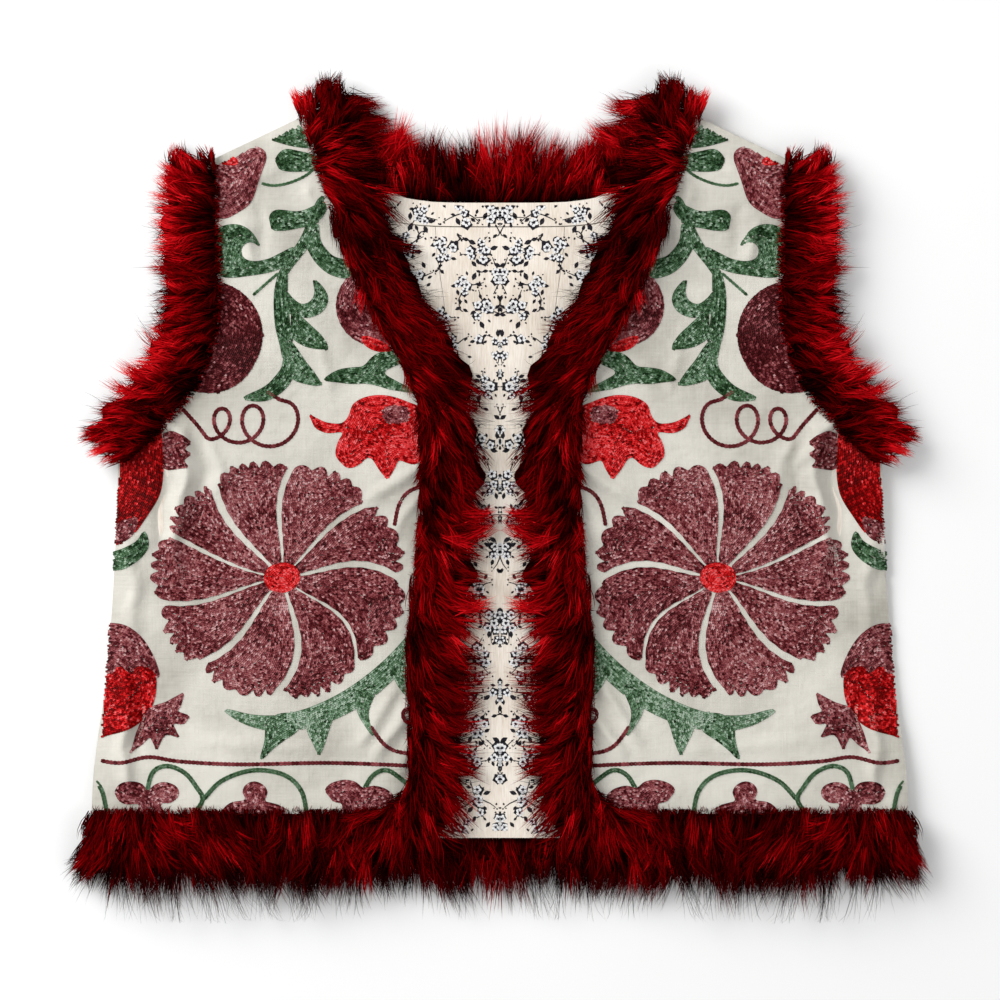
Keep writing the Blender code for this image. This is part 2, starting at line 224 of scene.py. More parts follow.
class Look:
    """A material with one Principled shader, built by node()."""

    def __init__(self, name, roughness, specular):
        self.material = bpy.data.materials.new(name)
        self.material.use_nodes = True
        self.tree = self.material.node_tree
        self.shader = self.tree.nodes["Principled BSDF"]
        self.shader.inputs["Roughness"].default_value = roughness
        self.shader.inputs["Specular IOR Level"].default_value = specular

    def node(self, kind, settings, inputs, out=0):
        """A node of the kind, with its settings, then the values or wires of its sockets. A
        ramp's stops are the setting stops. Gives the wire of the output out."""
        made = self.tree.nodes.new("ShaderNode" + kind)
        for key, value in settings.items():
            if key == "stops":
                while len(made.color_ramp.elements) < len(value):
                    made.color_ramp.elements.new(0.5)
                for element, (position, colour) in zip(made.color_ramp.elements, value):
                    element.position = position
                    element.color = (*colour, 1)
            else:
                setattr(made, key, value)
        for key, value in inputs.items():
            self.feed(made.inputs[key], value)
        return Wire(self, made.outputs[out])

    def feed(self, socket, value):
        if isinstance(value, Wire):
            self.tree.links.new(value.socket, socket)
        else:
            socket.default_value = value

    def axis(self, source, name):
        return self.node("SeparateXYZ", {}, {0: source}, name)

    def place(self):
        return self.node("TexCoord", {}, {}, "Object")

    def along(self):
        """The piece's own u and v."""
        uv = self.node("UVMap", {"uv_map": "OFBake"}, {})
        return self.axis(uv, "X"), self.axis(uv, "Y")

    def stretched(self, x, y, z):
        """Object coordinates multiplied by x, y and z."""
        return self.node("Mapping", {}, {"Vector": self.place(), "Scale": (x, y, z)})

    def noise(self, vector, scale, detail=2.0, roughness=0.5):
        inputs = {"Vector": vector, "Scale": scale, "Detail": detail, "Roughness": roughness}
        return self.node("TexNoise", {}, inputs, "Fac")

    def ramp(self, value, *stops):
        return self.node("ValToRGB", {"stops": stops}, {"Fac": value}, "Color")

    def times(self, a, b):
        """Two colours multiplied."""
        settings = {"data_type": "RGBA", "blend_type": "MULTIPLY"}
        return self.node("Mix", settings, {0: 1.0, 6: a, 7: b}, 2)

    def bump(self, height, distance, strength=1.0):
        inputs = {"Strength": strength, "Distance": distance, "Height": height}
        return self.node("Bump", {}, inputs)

    def finish(self, **inputs):
        """Feeds the shader's sockets, named with underscores for spaces."""
        for key, value in inputs.items():
            self.feed(self.shader.inputs[key.replace("_", " ")], value)
        return self.material


def greys(*stops):
    """A ramp's stops from positions and shades of grey."""
    return [(position, (shade,) * 3) for position, shade in stops]


def weave(look, threads_x, threads_y):
    """Plain weave: warp and weft as sine waves that take turns to be on top."""
    place = look.place()
    x, y = look.axis(place, "X"), look.axis(place, "Y")
    warp = (x * (2 * pi * threads_x)).sine()
    weft = (y * (2 * pi * threads_y)).sine()
    return warp * weft * 0.5 + 0.5


def cotton_look():
    """Matt cream cotton with faint slubs both ways, a soft mottle, rumples and a fine weave.
    The mottle's darker patches are painted shade that stands in for soft folds.
    """
    look = Look("cream_cotton", roughness=0.9, specular=0.15)
    slub_x = look.noise(look.stretched(60, 900, 60), 1.0, 2.0)
    slub_y = look.noise(look.stretched(900, 60, 60), 1.0, 2.0)
    mottle = look.noise(look.place(), 13.0, 4.0, 0.55)
    rumple = look.noise(look.place(), 34.0, 3.0, 0.5)
    tone = (slub_x + slub_y) * 0.08 + mottle * 0.84
    # The mottle's dark end is painted shade of soft folds, and its light end is the cream with no
    # painted shade.
    painted_fold_shade, unshaded_cream = (0.42, 0.397, 0.343), (0.68, 0.655, 0.588)
    colour = look.ramp(tone, (0.34, painted_fold_shade), (0.48, (0.585, 0.562, 0.50)), (0.60, unshaded_cream))
    height = weave(look, 1500, 1400) * 0.10 + (slub_x + slub_y) * 0.16 + rumple * 3.4
    return look.finish(Base_Color=colour, Normal=look.bump(height, 0.0010, 1.0))


def lining_look():
    """Smooth cream lining cloth, a little glossier than the cotton, with soft rumples."""
    look = Look("printed_lining", roughness=0.6, specular=0.35)
    mottle = look.noise(look.place(), 18.0, 3.0)
    rumple = look.noise(look.stretched(1, 0.45, 1), 45.0, 3.0, 0.55)
    slub = look.noise(look.stretched(1000, 120, 100), 1.0, 2.0)
    tone = mottle * 0.6 + slub * 0.4
    colour = look.ramp(tone, (0.34, (0.64, 0.545, 0.445)), (0.60, (0.87, 0.80, 0.71)))
    height = rumple * 2.0 + slub * 0.25
    return look.finish(Base_Color=colour, Normal=look.bump(height, 0.0007, 0.9))


def fur_look():
    """Hair coloured by its own map: u runs from black hairs to the brightest red ones, and carries
    the painted light and shade of the locks as well as their dye; v runs from the root, which is
    painted darker as shade deep in the pile, to the tip."""
    look = Look("red_fur", roughness=0.5, specular=0.0)
    u, v = look.along()
    dye = look.ramp(
        u,
        (0.0, (0.003, 0.0015, 0.0015)),
        (0.25, (0.012, 0.0002, 0.0003)),
        (0.50, (0.065, 0.0003, 0.0007)),
        (0.72, (0.22, 0.0007, 0.0018)),
        (0.88, (0.50, 0.002, 0.005)),
        (1.0, (0.80, 0.010, 0.014)),
    )
    # Painted shade: each hair is darker towards its root, deep in the pile.
    depth = look.ramp(v, *greys((0.0, 0.42), (0.4, 0.85), (1.0, 1.0)))
    return look.finish(Base_Color=look.times(dye, depth))


def underfur_shade_look():
    """The dense underfur, coloured near black: painted shade that shows as darkness between the locks.
    """
    look = Look("underfur", roughness=0.9, specular=0.0)
    tone = look.noise(look.place(), 220.0, 4.0, 0.7)
    colour = look.ramp(tone, (0.35, (0.004, 0.0001, 0.0001)), (0.75, (0.035, 0.0002, 0.0004)))
    return look.finish(Base_Color=colour, Normal=look.bump(tone, 0.002))


COTTON, LINING, FUR, UNDERFUR_SHADE = cotton_look(), lining_look(), fur_look(), underfur_shade_look()

# ---- the cut, as in the solids ---------------------------------------------------------------

# The edges of a front from the hem up, as distances from the centre line and over the hem.
FRONT_EDGE = np.array([
    (41.0, 47), (44.5, 110), (40.0, 175), (35.0, 225), (34.0, 265), (37.5, 300),
    (49.5, 330), (67.0, 361), (84.0, 398), (102.5, 450), (117.6, 498),
])
ARMHOLE_EDGE = np.array([
    (259.0, 276), (238.5, 296), (220.5, 319), (211.0, 350), (209.0, 395), (212.0, 453),
])
CORNER_RADIUS = 47.0
CORNER_X = 88.0
SIDE_X = 278.0
NECK_X = 117.6
NECK_Y = 432.0
NECK_RISE = 66.0


def edge_curve(rows):
    """A table's edge in the left half."""
    return curve_through(rows * [-1, 1])


def corner_arc():
    """Quarter circle from the hem to the front edge."""
    a = np.linspace(0, pi / 2, 9)[:-1]
    x = CORNER_X - CORNER_RADIUS * np.sin(a)
    return np.stack([-x, CORNER_RADIUS * (1 - np.cos(a))], axis=1)


def neck_curve():
    """Back neck from left to right: level at the centre, rising as the fifth power of x."""
    x = np.linspace(-1, 1, 61)
    return np.stack([x * NECK_X, NECK_Y + NECK_RISE * np.abs(x) ** 5], axis=1)


# ---- cloth ---------------------------------------------------------------------------------


class HeightMap:
    """Upper side of some solids as a grid of heights in millimetres, eased so that their facets
    don't show. Each grid point takes its height from the facet that holds it, or nearly does."""

    STEP = 2.5
    EASINGS = 6

    def __init__(self, node):
        corners = self.facets(node)
        low = corners[..., :2].min(axis=(0, 1)) - 3 * self.STEP
        high = corners[..., :2].max(axis=(0, 1)) + 3 * self.STEP
        self.low = low
        self.size = np.ceil((high - low) / self.STEP).astype(int) + 1
        gx, gy = (low[k] + self.STEP * np.arange(self.size[k]) for k in (0, 1))
        x, y = (a.ravel() for a in np.meshgrid(gx, gy, indexing="ij"))
        best = np.full(len(x), -1e9)
        height = np.zeros(len(x))
        (ax, ay, az), (bx, by, bz), (cx, cy, cz) = (corners[:, k].T for k in range(3))
        area = (bx - ax) * (cy - ay) - (by - ay) * (cx - ax)
        west, south = (corners[..., k].min(axis=1) - 4 * self.STEP for k in (0, 1))
        east, north = (corners[..., k].max(axis=1) + 4 * self.STEP for k in (0, 1))
        for k in np.flatnonzero(area > 1e-6):
            near = (x > west[k]) & (x < east[k]) & (y > south[k]) & (y < north[k])
            px, py = x[near], y[near]
            u = ((px - ax[k]) * (cy[k] - ay[k]) - (py - ay[k]) * (cx[k] - ax[k])) / area[k]
            v = ((bx[k] - ax[k]) * (py - ay[k]) - (by[k] - ay[k]) * (px - ax[k])) / area[k]
            hold = np.minimum(np.minimum(u, v), 1 - u - v) * sqrt(area[k])
            better = hold > best[near]
            spot = np.flatnonzero(near)[better]
            best[spot] = hold[better]
            lean = u[better] * (bz[k] - az[k]) + v[better] * (cz[k] - az[k])
            height[spot] = az[k] + np.clip(lean, -3, 3)
        self.raw = height.reshape(self.size)
        self.hold = best.reshape(self.size)
        self.eased = self.raw
        for _ in range(self.EASINGS):
            self.eased = self.blurred(self.eased)

    @staticmethod
    def facets(node):
        """Corners of the facets of a solid that face upwards."""
        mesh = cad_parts[node].data
        mesh.calc_loop_triangles()
        points = np.empty(len(mesh.vertices) * 3, np.float32)
        mesh.vertices.foreach_get("co", points)
        corners = np.empty(len(mesh.loop_triangles) * 3, np.int32)
        mesh.loop_triangles.foreach_get("vertices", corners)
        triangles = in_drawing(points.reshape(-1, 3))[corners.reshape(-1, 3)]
        edges = triangles[:, 1:] - triangles[:, :1]
        across = np.cross(edges[:, 0], edges[:, 1])
        return triangles[across[:, 2] > 0.5 * np.linalg.norm(across, axis=1)]

    @staticmethod
    def blurred(grid):
        padded = np.pad(grid, 1, mode="edge")
        rows = (padded[:-2] + 2 * padded[1:-1] + padded[2:]) / 4
        return (rows[:, :-2] + 2 * rows[:, 1:-1] + rows[:, 2:]) / 4

    def read(self, grid, x, y):
        """Bilinear reading of a grid at x and y."""
        fx = np.clip((np.asarray(x) - self.low[0]) / self.STEP, 0, self.size[0] - 1.001)
        fy = np.clip((np.asarray(y) - self.low[1]) / self.STEP, 0, self.size[1] - 1.001)
        i, j = fx.astype(int), fy.astype(int)
        u, v = fx - i, fy - j
        low = grid[i, j] * (1 - u) + grid[i + 1, j] * u
        high = grid[i, j + 1] * (1 - u) + grid[i + 1, j + 1] * u
        return low * (1 - v) + high * v


# Soft ridges and troughs of each front: both ends, with x as the distance from the centre line,
# then the height and the width.
Crease = namedtuple("Crease", "x0 y0 x1 y1 height width")
FRONT_CREASES = [
    Crease(232, 296, 206, 256, 5.0, 5.2),
    Crease(214, 272, 221, 186, 4.6, 4.5),
    Crease(228, 262, 230, 200, -2.9, 4.5),
    Crease(203, 262, 206, 214, -2.5, 4.5),
    Crease(196, 268, 190, 238, 2.1, 4.5),
    Crease(252, 196, 250, 140, 2.8, 5.2),
    Crease(256, 104, 253, 34, 4.2, 4.5),
    Crease(246, 96, 243, 60, -2.5, 4.0),
    Crease(74, 100, 93, 66, 3.2, 4.6),
    Crease(63, 92, 80, 56, 3.2, 4.6),
    Crease(56, 66, 70, 42, 2.1, 4.0),
    Crease(52, 254, 88, 232, 2.8, 4.6),
    Crease(56, 232, 70, 206, 1.9, 4.6),
    Crease(176, 418, 170, 392, 2.5, 4.5),
    Crease(160, 430, 163, 400, -1.7, 4.5),
    Crease(196, 434, 150, 456, 2.0, 5.2),
    Crease(128, 442, 123, 420, 1.7, 4.0),
    Crease(124, 336, 117, 306, 1.4, 4.0),
    Crease(205, 66, 120, 60, 1.4, 6.0),
]


def creases(x, y):
    """Sum of the front's creases: each is a bell across its line and fades at its ends."""
    x, y = np.abs(x), np.asarray(y, float)
    x = x + 2.2 * np.sin(y / 12.0) + 1.1 * np.sin(y / 4.9 + x / 15)
    total = np.zeros(np.shape(x))
    for c in FRONT_CREASES:
        run = np.array([c.x1 - c.x0, c.y1 - c.y0], float)
        size = np.hypot(*run)
        t = ((x - c.x0) * run[0] + (y - c.y0) * run[1]) / size**2
        off = ((x - c.x0) * run[1] - (y - c.y0) * run[0]) / size
        ends = np.clip(np.minimum(t + 0.3, 1.3 - t) / 0.5, 0, 1)
        total += c.height * np.exp(-((off / c.width) ** 2)) * ends * ends * (3 - 2 * ends)
    return total


def no_creases(x, y):
    return np.zeros(np.shape(x))


SHELL_WALL = 1.5
LINING_WALL = 1.0
FINER_PASSES = 4
UPWARDS = 0.3  # least z of a normal on the upper side
CREASED = 0.3  # height or depth from which a place counts as on a crease
SHARP = radians(50)  # edges that turn by more stay sharp


def cut_up(work):
    """Cuts the many-sided faces that a finer cut leaves into triangles."""
    bmesh.ops.triangulate(work, faces=[f for f in work.faces if len(f.verts) > 4])
    work.normal_update()


def cut_finer(work, longest, shape):
    """Halves the edges of the upper side that are longer than that, or on a crease longer than
    half of that, several times over."""
    for _ in range(FINER_PASSES):
        upper = {e for f in work.faces if f.normal.z > UPWARDS for e in f.edges}
        edges = [e for e in work.edges if e in upper]
        middles = in_drawing(np.array([0.5 * (e.verts[0].co + e.verts[1].co) for e in edges]))
        creased = np.abs(shape(middles[:, 0], middles[:, 1])) > CREASED
        limits = longest * MM * np.where(creased, 0.5, 1.0)
        long = [e for e, limit in zip(edges, limits) if e.calc_length() > limit]
        bmesh.ops.subdivide_edges(work, edges=long, cuts=1, use_grid_fill=True)
        cut_up(work)


def cloth(node, look, wall, cuts, shape=no_creases, longest=30.0):
    """A cloth piece on its solid's form: the solid's own outline cut finer, its upper side at
    the eased height plus shape(x, y), and its lower side a wall below that."""
    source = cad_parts[node]
    mesh = source.data.copy()
    mesh.name = node + "_cloth"
    work = bmesh.new()
    work.from_mesh(mesh)
    bmesh.ops.remove_doubles(work, verts=work.verts, dist=2e-6)
    facing, square = radians(40), radians(70)
    angles = {"angle_face_threshold": facing, "angle_shape_threshold": square}
    bmesh.ops.join_triangles(work, faces=work.faces, **angles)
    bmesh.ops.subdivide_edges(work, edges=work.edges, cuts=cuts, use_grid_fill=True)
    cut_up(work)
    cut_finer(work, longest, shape)
    work.to_mesh(mesh)
    work.free()
    co = np.empty(len(mesh.vertices) * 3, np.float32)
    mesh.vertices.foreach_get("co", co)
    points = in_drawing(co.reshape(-1, 3))
    top = HeightMap(node)
    x, y = points[:, 0], points[:, 1]
    share = np.clip((top.read(top.raw, x, y) - points[:, 2]) / wall, 0, 1)
    share = np.where(share < 0.35, 0, np.where(share > 0.65, 1, share))
    points[:, 2] = top.read(top.eased, x, y) + shape(x, y) - wall * share
    points[:, 2] = np.maximum(points[:, 2], 0)
    mesh.vertices.foreach_set("co", in_metres(points).astype(np.float32).ravel())
    mesh.polygons.foreach_set("use_smooth", np.full(len(mesh.polygons), True))
    if "custom_normal" in mesh.attributes:
        mesh.attributes.remove(mesh.attributes["custom_normal"])
    mesh.set_sharp_from_angle(angle=SHARP)
    mesh.materials.clear()
    mesh.materials.append(look)
    mesh.update()
    piece = shown(node + "_cloth", mesh)
    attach(piece, "root")
    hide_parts(node)
    return piece


flat, area = (0.556, 0.498), 0.2326
cloth("back", COTTON, SHELL_WALL, 1)
for part, cuts, flat, area in (
    ("centre", 2, (0.099, 0.416), 0.0334),
    ("left", 2, (0.24, 0.479), 0.0865),
    ("right", 2, (0.24, 0.479), 0.0865),
    ("facing", 3, (0.25, 0.066), 0.0052),
):
    node = "lining_" + part
    cloth(node, LINING, LINING_WALL, cuts)
flat, area = (0.245, 0.498), 0.0912
for side in ("left", "right"):
    node, under = "front_" + side, ["lining_" + side, "lining_facing"]
    cloth(node, COTTON, SHELL_WALL, 2, creases, longest=4.2)

FRONT_MAP = HeightMap("front_left")
LINING_MAPS = [HeightMap("lining_" + part) for part in ("centre", "left", "facing")]


def front_top(x, y):
    """Height of a front's upper side, creases and all."""
    return FRONT_MAP.read(FRONT_MAP.eased, -np.abs(x), y) + creases(x, y)


def lining_top(x, y):
    """Height of the highest piece of lining there, in the left half."""
    over = [np.where(m.read(m.hold, x, y) > -1.5, m.read(m.eased, x, y), 0) for m in LINING_MAPS]
    return np.max(over, axis=0)


# ---- embroidery ----------------------------------------------------------------------------
#
# Drawn for one front, with x as the distance from the centre line, and turned over for the other.

ROW = 1.22  # from one row of filling to the next
STEP = 0.48  # a stitch of a row starts every four steps and is six steps long
MOST_ROWS = 60
FEWEST = 6  # a row with fewer places left than this is not sewn
ROW_ROOM = 0.42  # how much nearer to the outline than its depth a row may come, in rows
STITCH_ROOM = 0.55  # and a stitch's middle
SHORTEST = 2.5 * STEP
PATCH_HALF = 1.1  # half the length of a stitch that covers a bare spot
FLOWER_POINTS = 300
SPOT = 0.55  # side of the cells in which bare spots of a filling are looked for
CHAIN = 2.7  # step of the open chain stitches of stems and lines
OVERLAP = 1.35  # length of a chain stitch as a share of its step, so that each holds the next


def blade(knots, width, taper=1.0, fullness=0.8):
    """Leaf or band about a centreline through the knots: it is width * sin(pi * t^taper)^fullness
    wide at the share t of its length."""
    line = even_steps(curve_through(knots), 0.5)
    t = np.linspace(0, 1, len(line))
    half = 0.5 * width * np.clip(np.sin(pi * t**taper), 0, 1) ** fullness
    side = to_left(unit(np.gradient(line, axis=0))) * half[:, None]
    return np.vstack([line + side, (line - side)[::-1]])


def flower(centre, core, lobes, notch=0.0, notches=1):
    """Outline about a centre: at each angle the radius is that of the core or of the lobe that
    reaches furthest. A lobe is a circle of its own radius whose far side is at its reach, so its
    radius at a turn from its angle is c * cos(turn) + sqrt(radius^2 - c^2 * sin(turn)^2), where
    c = reach - radius. notch cuts small scallops into the outline."""
    angle = np.linspace(0, 2 * pi, FLOWER_POINTS, endpoint=False)
    out = np.full(FLOWER_POINTS, float(core))
    for lobe in lobes:
        turn = angle - radians(lobe.angle)
        c = lobe.reach - lobe.radius
        under = lobe.radius**2 - (c * np.sin(turn)) ** 2
        reach = c * np.cos(turn) + np.sqrt(np.maximum(under, 0))
        out = np.where((under > 0) & (np.cos(turn) > 0), np.maximum(out, reach), out)
    out = out * (1 - notch * np.abs(np.sin(0.5 * notches * angle)))
    return centre + out[:, None] * heading(angle)


def inward(loop):
    """Unit normals of a closed path that runs anticlockwise, towards its inside."""
    ahead = np.roll(loop, -2, axis=0) - np.roll(loop, 2, axis=0)
    return to_left(ahead) / (np.hypot(*ahead.T)[:, None] + 1e-9)


def filling(outline):
    """Starts and ends of the stitches that fill an outline. Their rows follow the outline
    inwards. Each row is the one before it moved along its normals, without the points that come
    nearer to the outline than the row is deep."""
    loop = even_steps(outline, STEP, closed=True)
    following = np.roll(loop, -1, axis=0)
    area = np.sum(loop[:, 0] * following[:, 1] - loop[:, 1] * following[:, 0])
    path = loop = loop if area > 0 else loop[::-1]
    starts, ends = [], []
    depth = 0.0
    for row in range(MOST_ROWS):
        move = 0.5 * ROW if row == 0 else ROW
        depth += move
        path = path + move * inward(path)
        clear = apart(path, loop).min(axis=1) > depth - ROW_ROOM * ROW
        if row == 0:
            clear &= inside(path, loop)
        if clear.sum() < FEWEST:
            break
        path = even_steps(path[clear], STEP, closed=True)
        first = row % 2 * 2
        start, end = path[first::4], np.roll(path, -6, axis=0)[first::4]
        away = apart(0.5 * (start + end), loop).min(axis=1)
        kept = (away > depth - STITCH_ROOM * ROW) & (np.hypot(*(end - start).T) > SHORTEST)
        starts.append(start[kept])
        ends.append(end[kept])
    return np.vstack(starts), np.vstack(ends)


def cells_of(points, low, size):
    """Indices of the grid cells that hold the points."""
    cells = np.clip(((points - low) / SPOT).astype(int), 0, size - 1).reshape(-1, 2)
    return cells[:, 0], cells[:, 1]


def patching(outline, starts, ends):
    """Starts and ends of short stitches for the bare spots of an outline: the cells of a grid
    that no stitch crosses and none beside it, every other one, turned like the nearest stitch."""
    low, high = outline.min(axis=0) - 2 * SPOT, outline.max(axis=0) + 2 * SPOT
    size = np.ceil((high - low) / SPOT).astype(int) + 1
    near = ((starts > low) & (starts < high)).all(axis=1)
    starts, ends = starts[near], ends[near]
    share = np.linspace(0, 1, 9)[None, :, None]
    covered = np.zeros(size, bool)
    covered[cells_of(starts[:, None] + (ends - starts)[:, None] * share, low, size)] = True
    beside = covered.copy()
    beside[1:] |= covered[:-1]
    beside[:-1] |= covered[1:]
    beside[:, 1:] |= covered[:, :-1]
    beside[:, :-1] |= covered[:, 1:]
    bare = np.argwhere(~beside)
    bare = bare[bare.sum(axis=1) % 2 == 0]
    places = low + (bare + 0.5) * SPOT
    places = places[inside(places, outline)]
    if not len(places):
        return places, places
    nearest = apart(places, 0.5 * (starts + ends)).argmin(axis=1)
    run = unit((ends - starts)[nearest])
    return places - PATCH_HALF * run, places + PATCH_HALF * run


Lobe = namedtuple("Lobe", "angle reach radius")
Motif = namedtuple("Motif", "thread outline shade", defaults=(0.0,))
Gap = namedtuple("Gap", "inner outer arch width scallops shade")

WHEEL = np.array([148.5, 177.0])
WHEEL_RADIUS = 88.5
WHEEL_HUB = 11.0

# The bare gaps between the wheel's petals: their angles at the hub and at the rim, how far they
# arch between, and their width at the rim. Then the scallops and the shade of the petal that runs
# from this gap to the next.
WHEEL_GAPS = [
    Gap(172, 184, -9, 6.0, 5, -0.02),
    Gap(136, 141, -5, 5.0, 5, 0.03),
    Gap(92, 97, -7, 5.5, 6, 0.05),
    Gap(46, 56, -5, 6.5, 6, 0.0),
    Gap(9, 22, 2, 3.5, 5, 0.0),
    Gap(-12, -10, -6, 4.0, 5, 0.0),
    Gap(-50, -44, -7, 6.0, 6, 0.03),
    Gap(-105, -84, -9, 7.0, 6, -0.05),
    Gap(-143, -126, -12, 3.5, 5, -0.08),
]

PETAL_SIDE = 0.90  # share of a gap's length that is a petal's side, and not its rim
RAGGED = 0.28  # how far a petal's edge strays from its line, as sewn edges do
SCRAMBLE = 9973  # a wave so short that its steps look random


def gap_side(gap, side, share):
    """One side of a gap between petals, in polar form: its angle goes from inner to outer and
    arches by a half sine between, at half of the gap's width from its middle."""
    radius = WHEEL_HUB + (WHEEL_RADIUS - WHEEL_HUB) * share
    angle = gap.inner + (gap.outer - gap.inner) * share + gap.arch * np.sin(pi * share)
    half = 0.5 * gap.width * (0.35 + 0.65 * np.sin(0.5 * pi * share))
    half = half + RAGGED * np.sin(SCRAMBLE * share + 7 * gap.outer)
    return radius, np.radians(angle) + side * half / radius


def petal(first, last, slant):
    """A petal between two gaps. Its rim swells between its ends and is cut into scallops."""
    share = np.linspace(0, PETAL_SIDE, 42)
    radius_a, angle_a = gap_side(last, 1, share)
    radius_b, angle_b = gap_side(first, -1, share)
    w = np.linspace(0, 1, 26 * first.scallops)[1:-1]
    end_a, end_b = angle_a[-1], angle_b[-1]
    span = (end_b - end_a) % (2 * pi)
    rim = WHEEL_RADIUS * (0.95 + 0.055 * np.sin(pi * w) ** 0.7 + slant * (w - 0.5))
    uneven = w + 0.045 * np.sin(2 * pi * w + 90 * slant)
    depth = 6.0 + 1.8 * np.sin(9 * w + 150 * slant)
    rim = rim - depth * (1 - np.abs(np.sin(pi * first.scallops * uneven)) ** 0.75)
    angle = np.concatenate([angle_a, end_a + span * w, angle_b[::-1]])
    radius = np.concatenate([radius_a, rim, radius_b[::-1]])
    oval = 1 - 0.07 * np.abs(np.sin(angle)) - 0.015 * np.sin(angle) + 0.022 * np.cos(angle)
    return WHEEL + (radius * oval)[:, None] * heading(angle)


def wheel_motifs():
    """The big rosette: nine swirling petals about a red boss."""
    motifs = []
    for number, first in enumerate(WHEEL_GAPS):
        last = WHEEL_GAPS[(number + 1) % len(WHEEL_GAPS)]
        outline = petal(first, last, slant=0.03 * np.sin(2.1 * number))
        motifs.append(Motif("maroon", outline, first.shade))
    boss = flower(WHEEL, 10.4, [Lobe(-8, 12.4, 9.5), Lobe(172, 12.4, 9.5)])
    return motifs + [Motif("red", boss, 0.18)]


def curved(thread, shade, *knots):
    """Motif with a smooth outline through the knots."""
    return Motif(thread, closed_curve(knots), shade)


def pointed(thread, shade, *corners):
    """Motif with straight sides between its corners."""
    return Motif(thread, np.array(corners), shade)


def shoulder_motifs():
    """Maroon flower, scroll and leaves between the two strips of fur."""
    return [
        curved("maroon", -0.04, (159, 461), (161, 468), (170, 470), (181, 462), (194, 465), (212, 450),
            (208, 430), (190, 421), (177, 426), (169, 433), (164, 447)),
        Motif("red", blade([(194, 462), (186, 461), (177, 459)], 7, 1, 0.5)),
        curved("green", 0.0, (160, 476), (151, 482), (143, 487), (133, 481), (128, 470), (139, 470),
            (151, 473)),
        curved("green", 0.0, (153, 461), (147, 468), (137, 467), (124, 463), (124, 455), (140, 453),
            (151, 455)),
        curved("green", 0.0, (157, 422), (152, 427), (137, 426), (126, 430), (121, 434), (118, 427),
            (126, 417), (136, 415), (147, 413), (156, 414)),
        Motif("green", blade([(121, 436), (127, 419), (133, 405), (143, 391), (149, 380)], 7.5, 1, 0.3)),
        curved("green", 0.0, (124, 418), (122, 406), (114, 396), (104, 392), (102, 381), (115, 383),
            (125, 391), (132, 403), (133, 412)),
        curved("green", 0.0, (141, 402), (140, 394), (150, 387), (166, 383), (190, 382), (200, 398),
            (193, 413), (184, 417), (175, 416), (168, 411), (163, 402), (168, 405), (173, 404),
            (176, 400), (174, 394), (166, 392), (154, 395)),
        Motif("green", blade([(147, 388), (149, 370), (148, 350), (145, 334), (144, 318)], 10, 1, 0.3)),
        curved("green", 0.0, (146, 372), (141, 367), (135, 363), (129, 365), (126, 371), (127, 380),
            (120, 374), (117, 366), (121, 358), (130, 354), (138, 355), (146, 359)),
        curved("green", 0.0, (142, 358), (136, 355), (127, 347), (121, 341), (117, 333), (127, 333),
            (136, 336), (143, 343)),
        curved("green", 0.0, (144, 338), (139, 334), (133, 325), (126, 316), (122, 308), (133, 309),
            (142, 313), (147, 324)),
        curved("green", 0.0, (146, 338), (148, 322), (152, 315), (160, 307), (175, 299), (161, 297),
            (150, 302), (142, 311), (139, 323)),
        curved("green", 0.02, (120, 311), (111, 318), (101, 320), (93, 321), (86, 328), (77, 331),
            (62, 330), (68, 323), (79, 317), (71, 311), (56, 303), (74, 305), (89, 309), (104, 309)),
        # The disc is tinted darker, partly its own darker maroon and partly painted shade of the armhole
        # fur beside it.
        Motif("maroon", flower((198, 342), 37, [Lobe(268, 40, 34)], 0.02, 40), -0.32),
        Motif("maroon", flower((84, 362), 28, [], 0.03, 26), -0.06),
        Motif("red", blade([(95, 341), (86, 336), (74, 332)], 8, 1, 0.5), -0.06),
    ]


def tulip_motifs():
    """Red tulip with a maroon heart, which lies on its side with its tail outwards."""
    heart = flower((71, 288), 6.2, [Lobe(0, 9.5, 6), Lobe(180, 9.5, 6)])
    return [
        curved("red", 0.0, (130, 288), (126, 286), (118, 282.5), (108, 282), (103, 287), (100, 295),
            (91, 300), (78, 301), (64, 297), (50, 289), (48, 268), (56, 255), (63, 255), (69, 257),
            (72, 251), (76.5, 245), (82, 250), (86, 256.5), (90, 259), (96, 254), (103, 251.5),
            (108, 255), (112, 261), (110, 270), (107, 276), (118, 275.5), (127, 280)),
        Motif("maroon", heart, 0.10),
    ]


def side_motifs():
    """Pods and leafy stars that run into the side seam."""
    return [
        pointed("maroon", -0.12, (226, 250), (211, 252), (215, 256.5), (209, 261), (214.5, 264.5),
            (209, 268.5), (214, 273), (223, 277), (237, 272), (237, 256)),
        curved("red", -0.36, (262, 306), (240, 296), (231, 280), (229, 255), (231, 235), (240, 219),
            (252, 204), (268, 198), (284, 205), (284, 290)),
        Motif("maroon", blade([(246, 218), (256, 209), (270, 201)], 13), -0.04),
        curved("green", 0.0, (271, 181), (268, 192), (256, 197), (247, 202), (242, 209), (239, 200),
            (242, 193), (250, 186), (259, 182)),
        curved("maroon", -0.04, (268, 146), (254, 144), (243, 135), (235, 121), (232, 109), (240, 111),
            (246, 116), (252, 111), (259, 116), (267, 110), (282, 112), (284, 144)),
        curved("red", -0.18, (284, 113), (267, 111), (259, 117), (252, 112), (246, 117), (235, 112),
            (235, 95), (241, 83), (250, 75), (266, 70), (284, 68)),
        pointed("maroon", -0.02, (251, 58.5), (248, 70), (243, 83), (238, 89), (228, 92), (215, 99),
            (217, 90), (220, 86), (211, 83), (215, 77), (223, 78), (218, 68), (226, 70.5), (229, 69),
            (233.5, 59.5), (238, 69), (244, 63)),
    ]


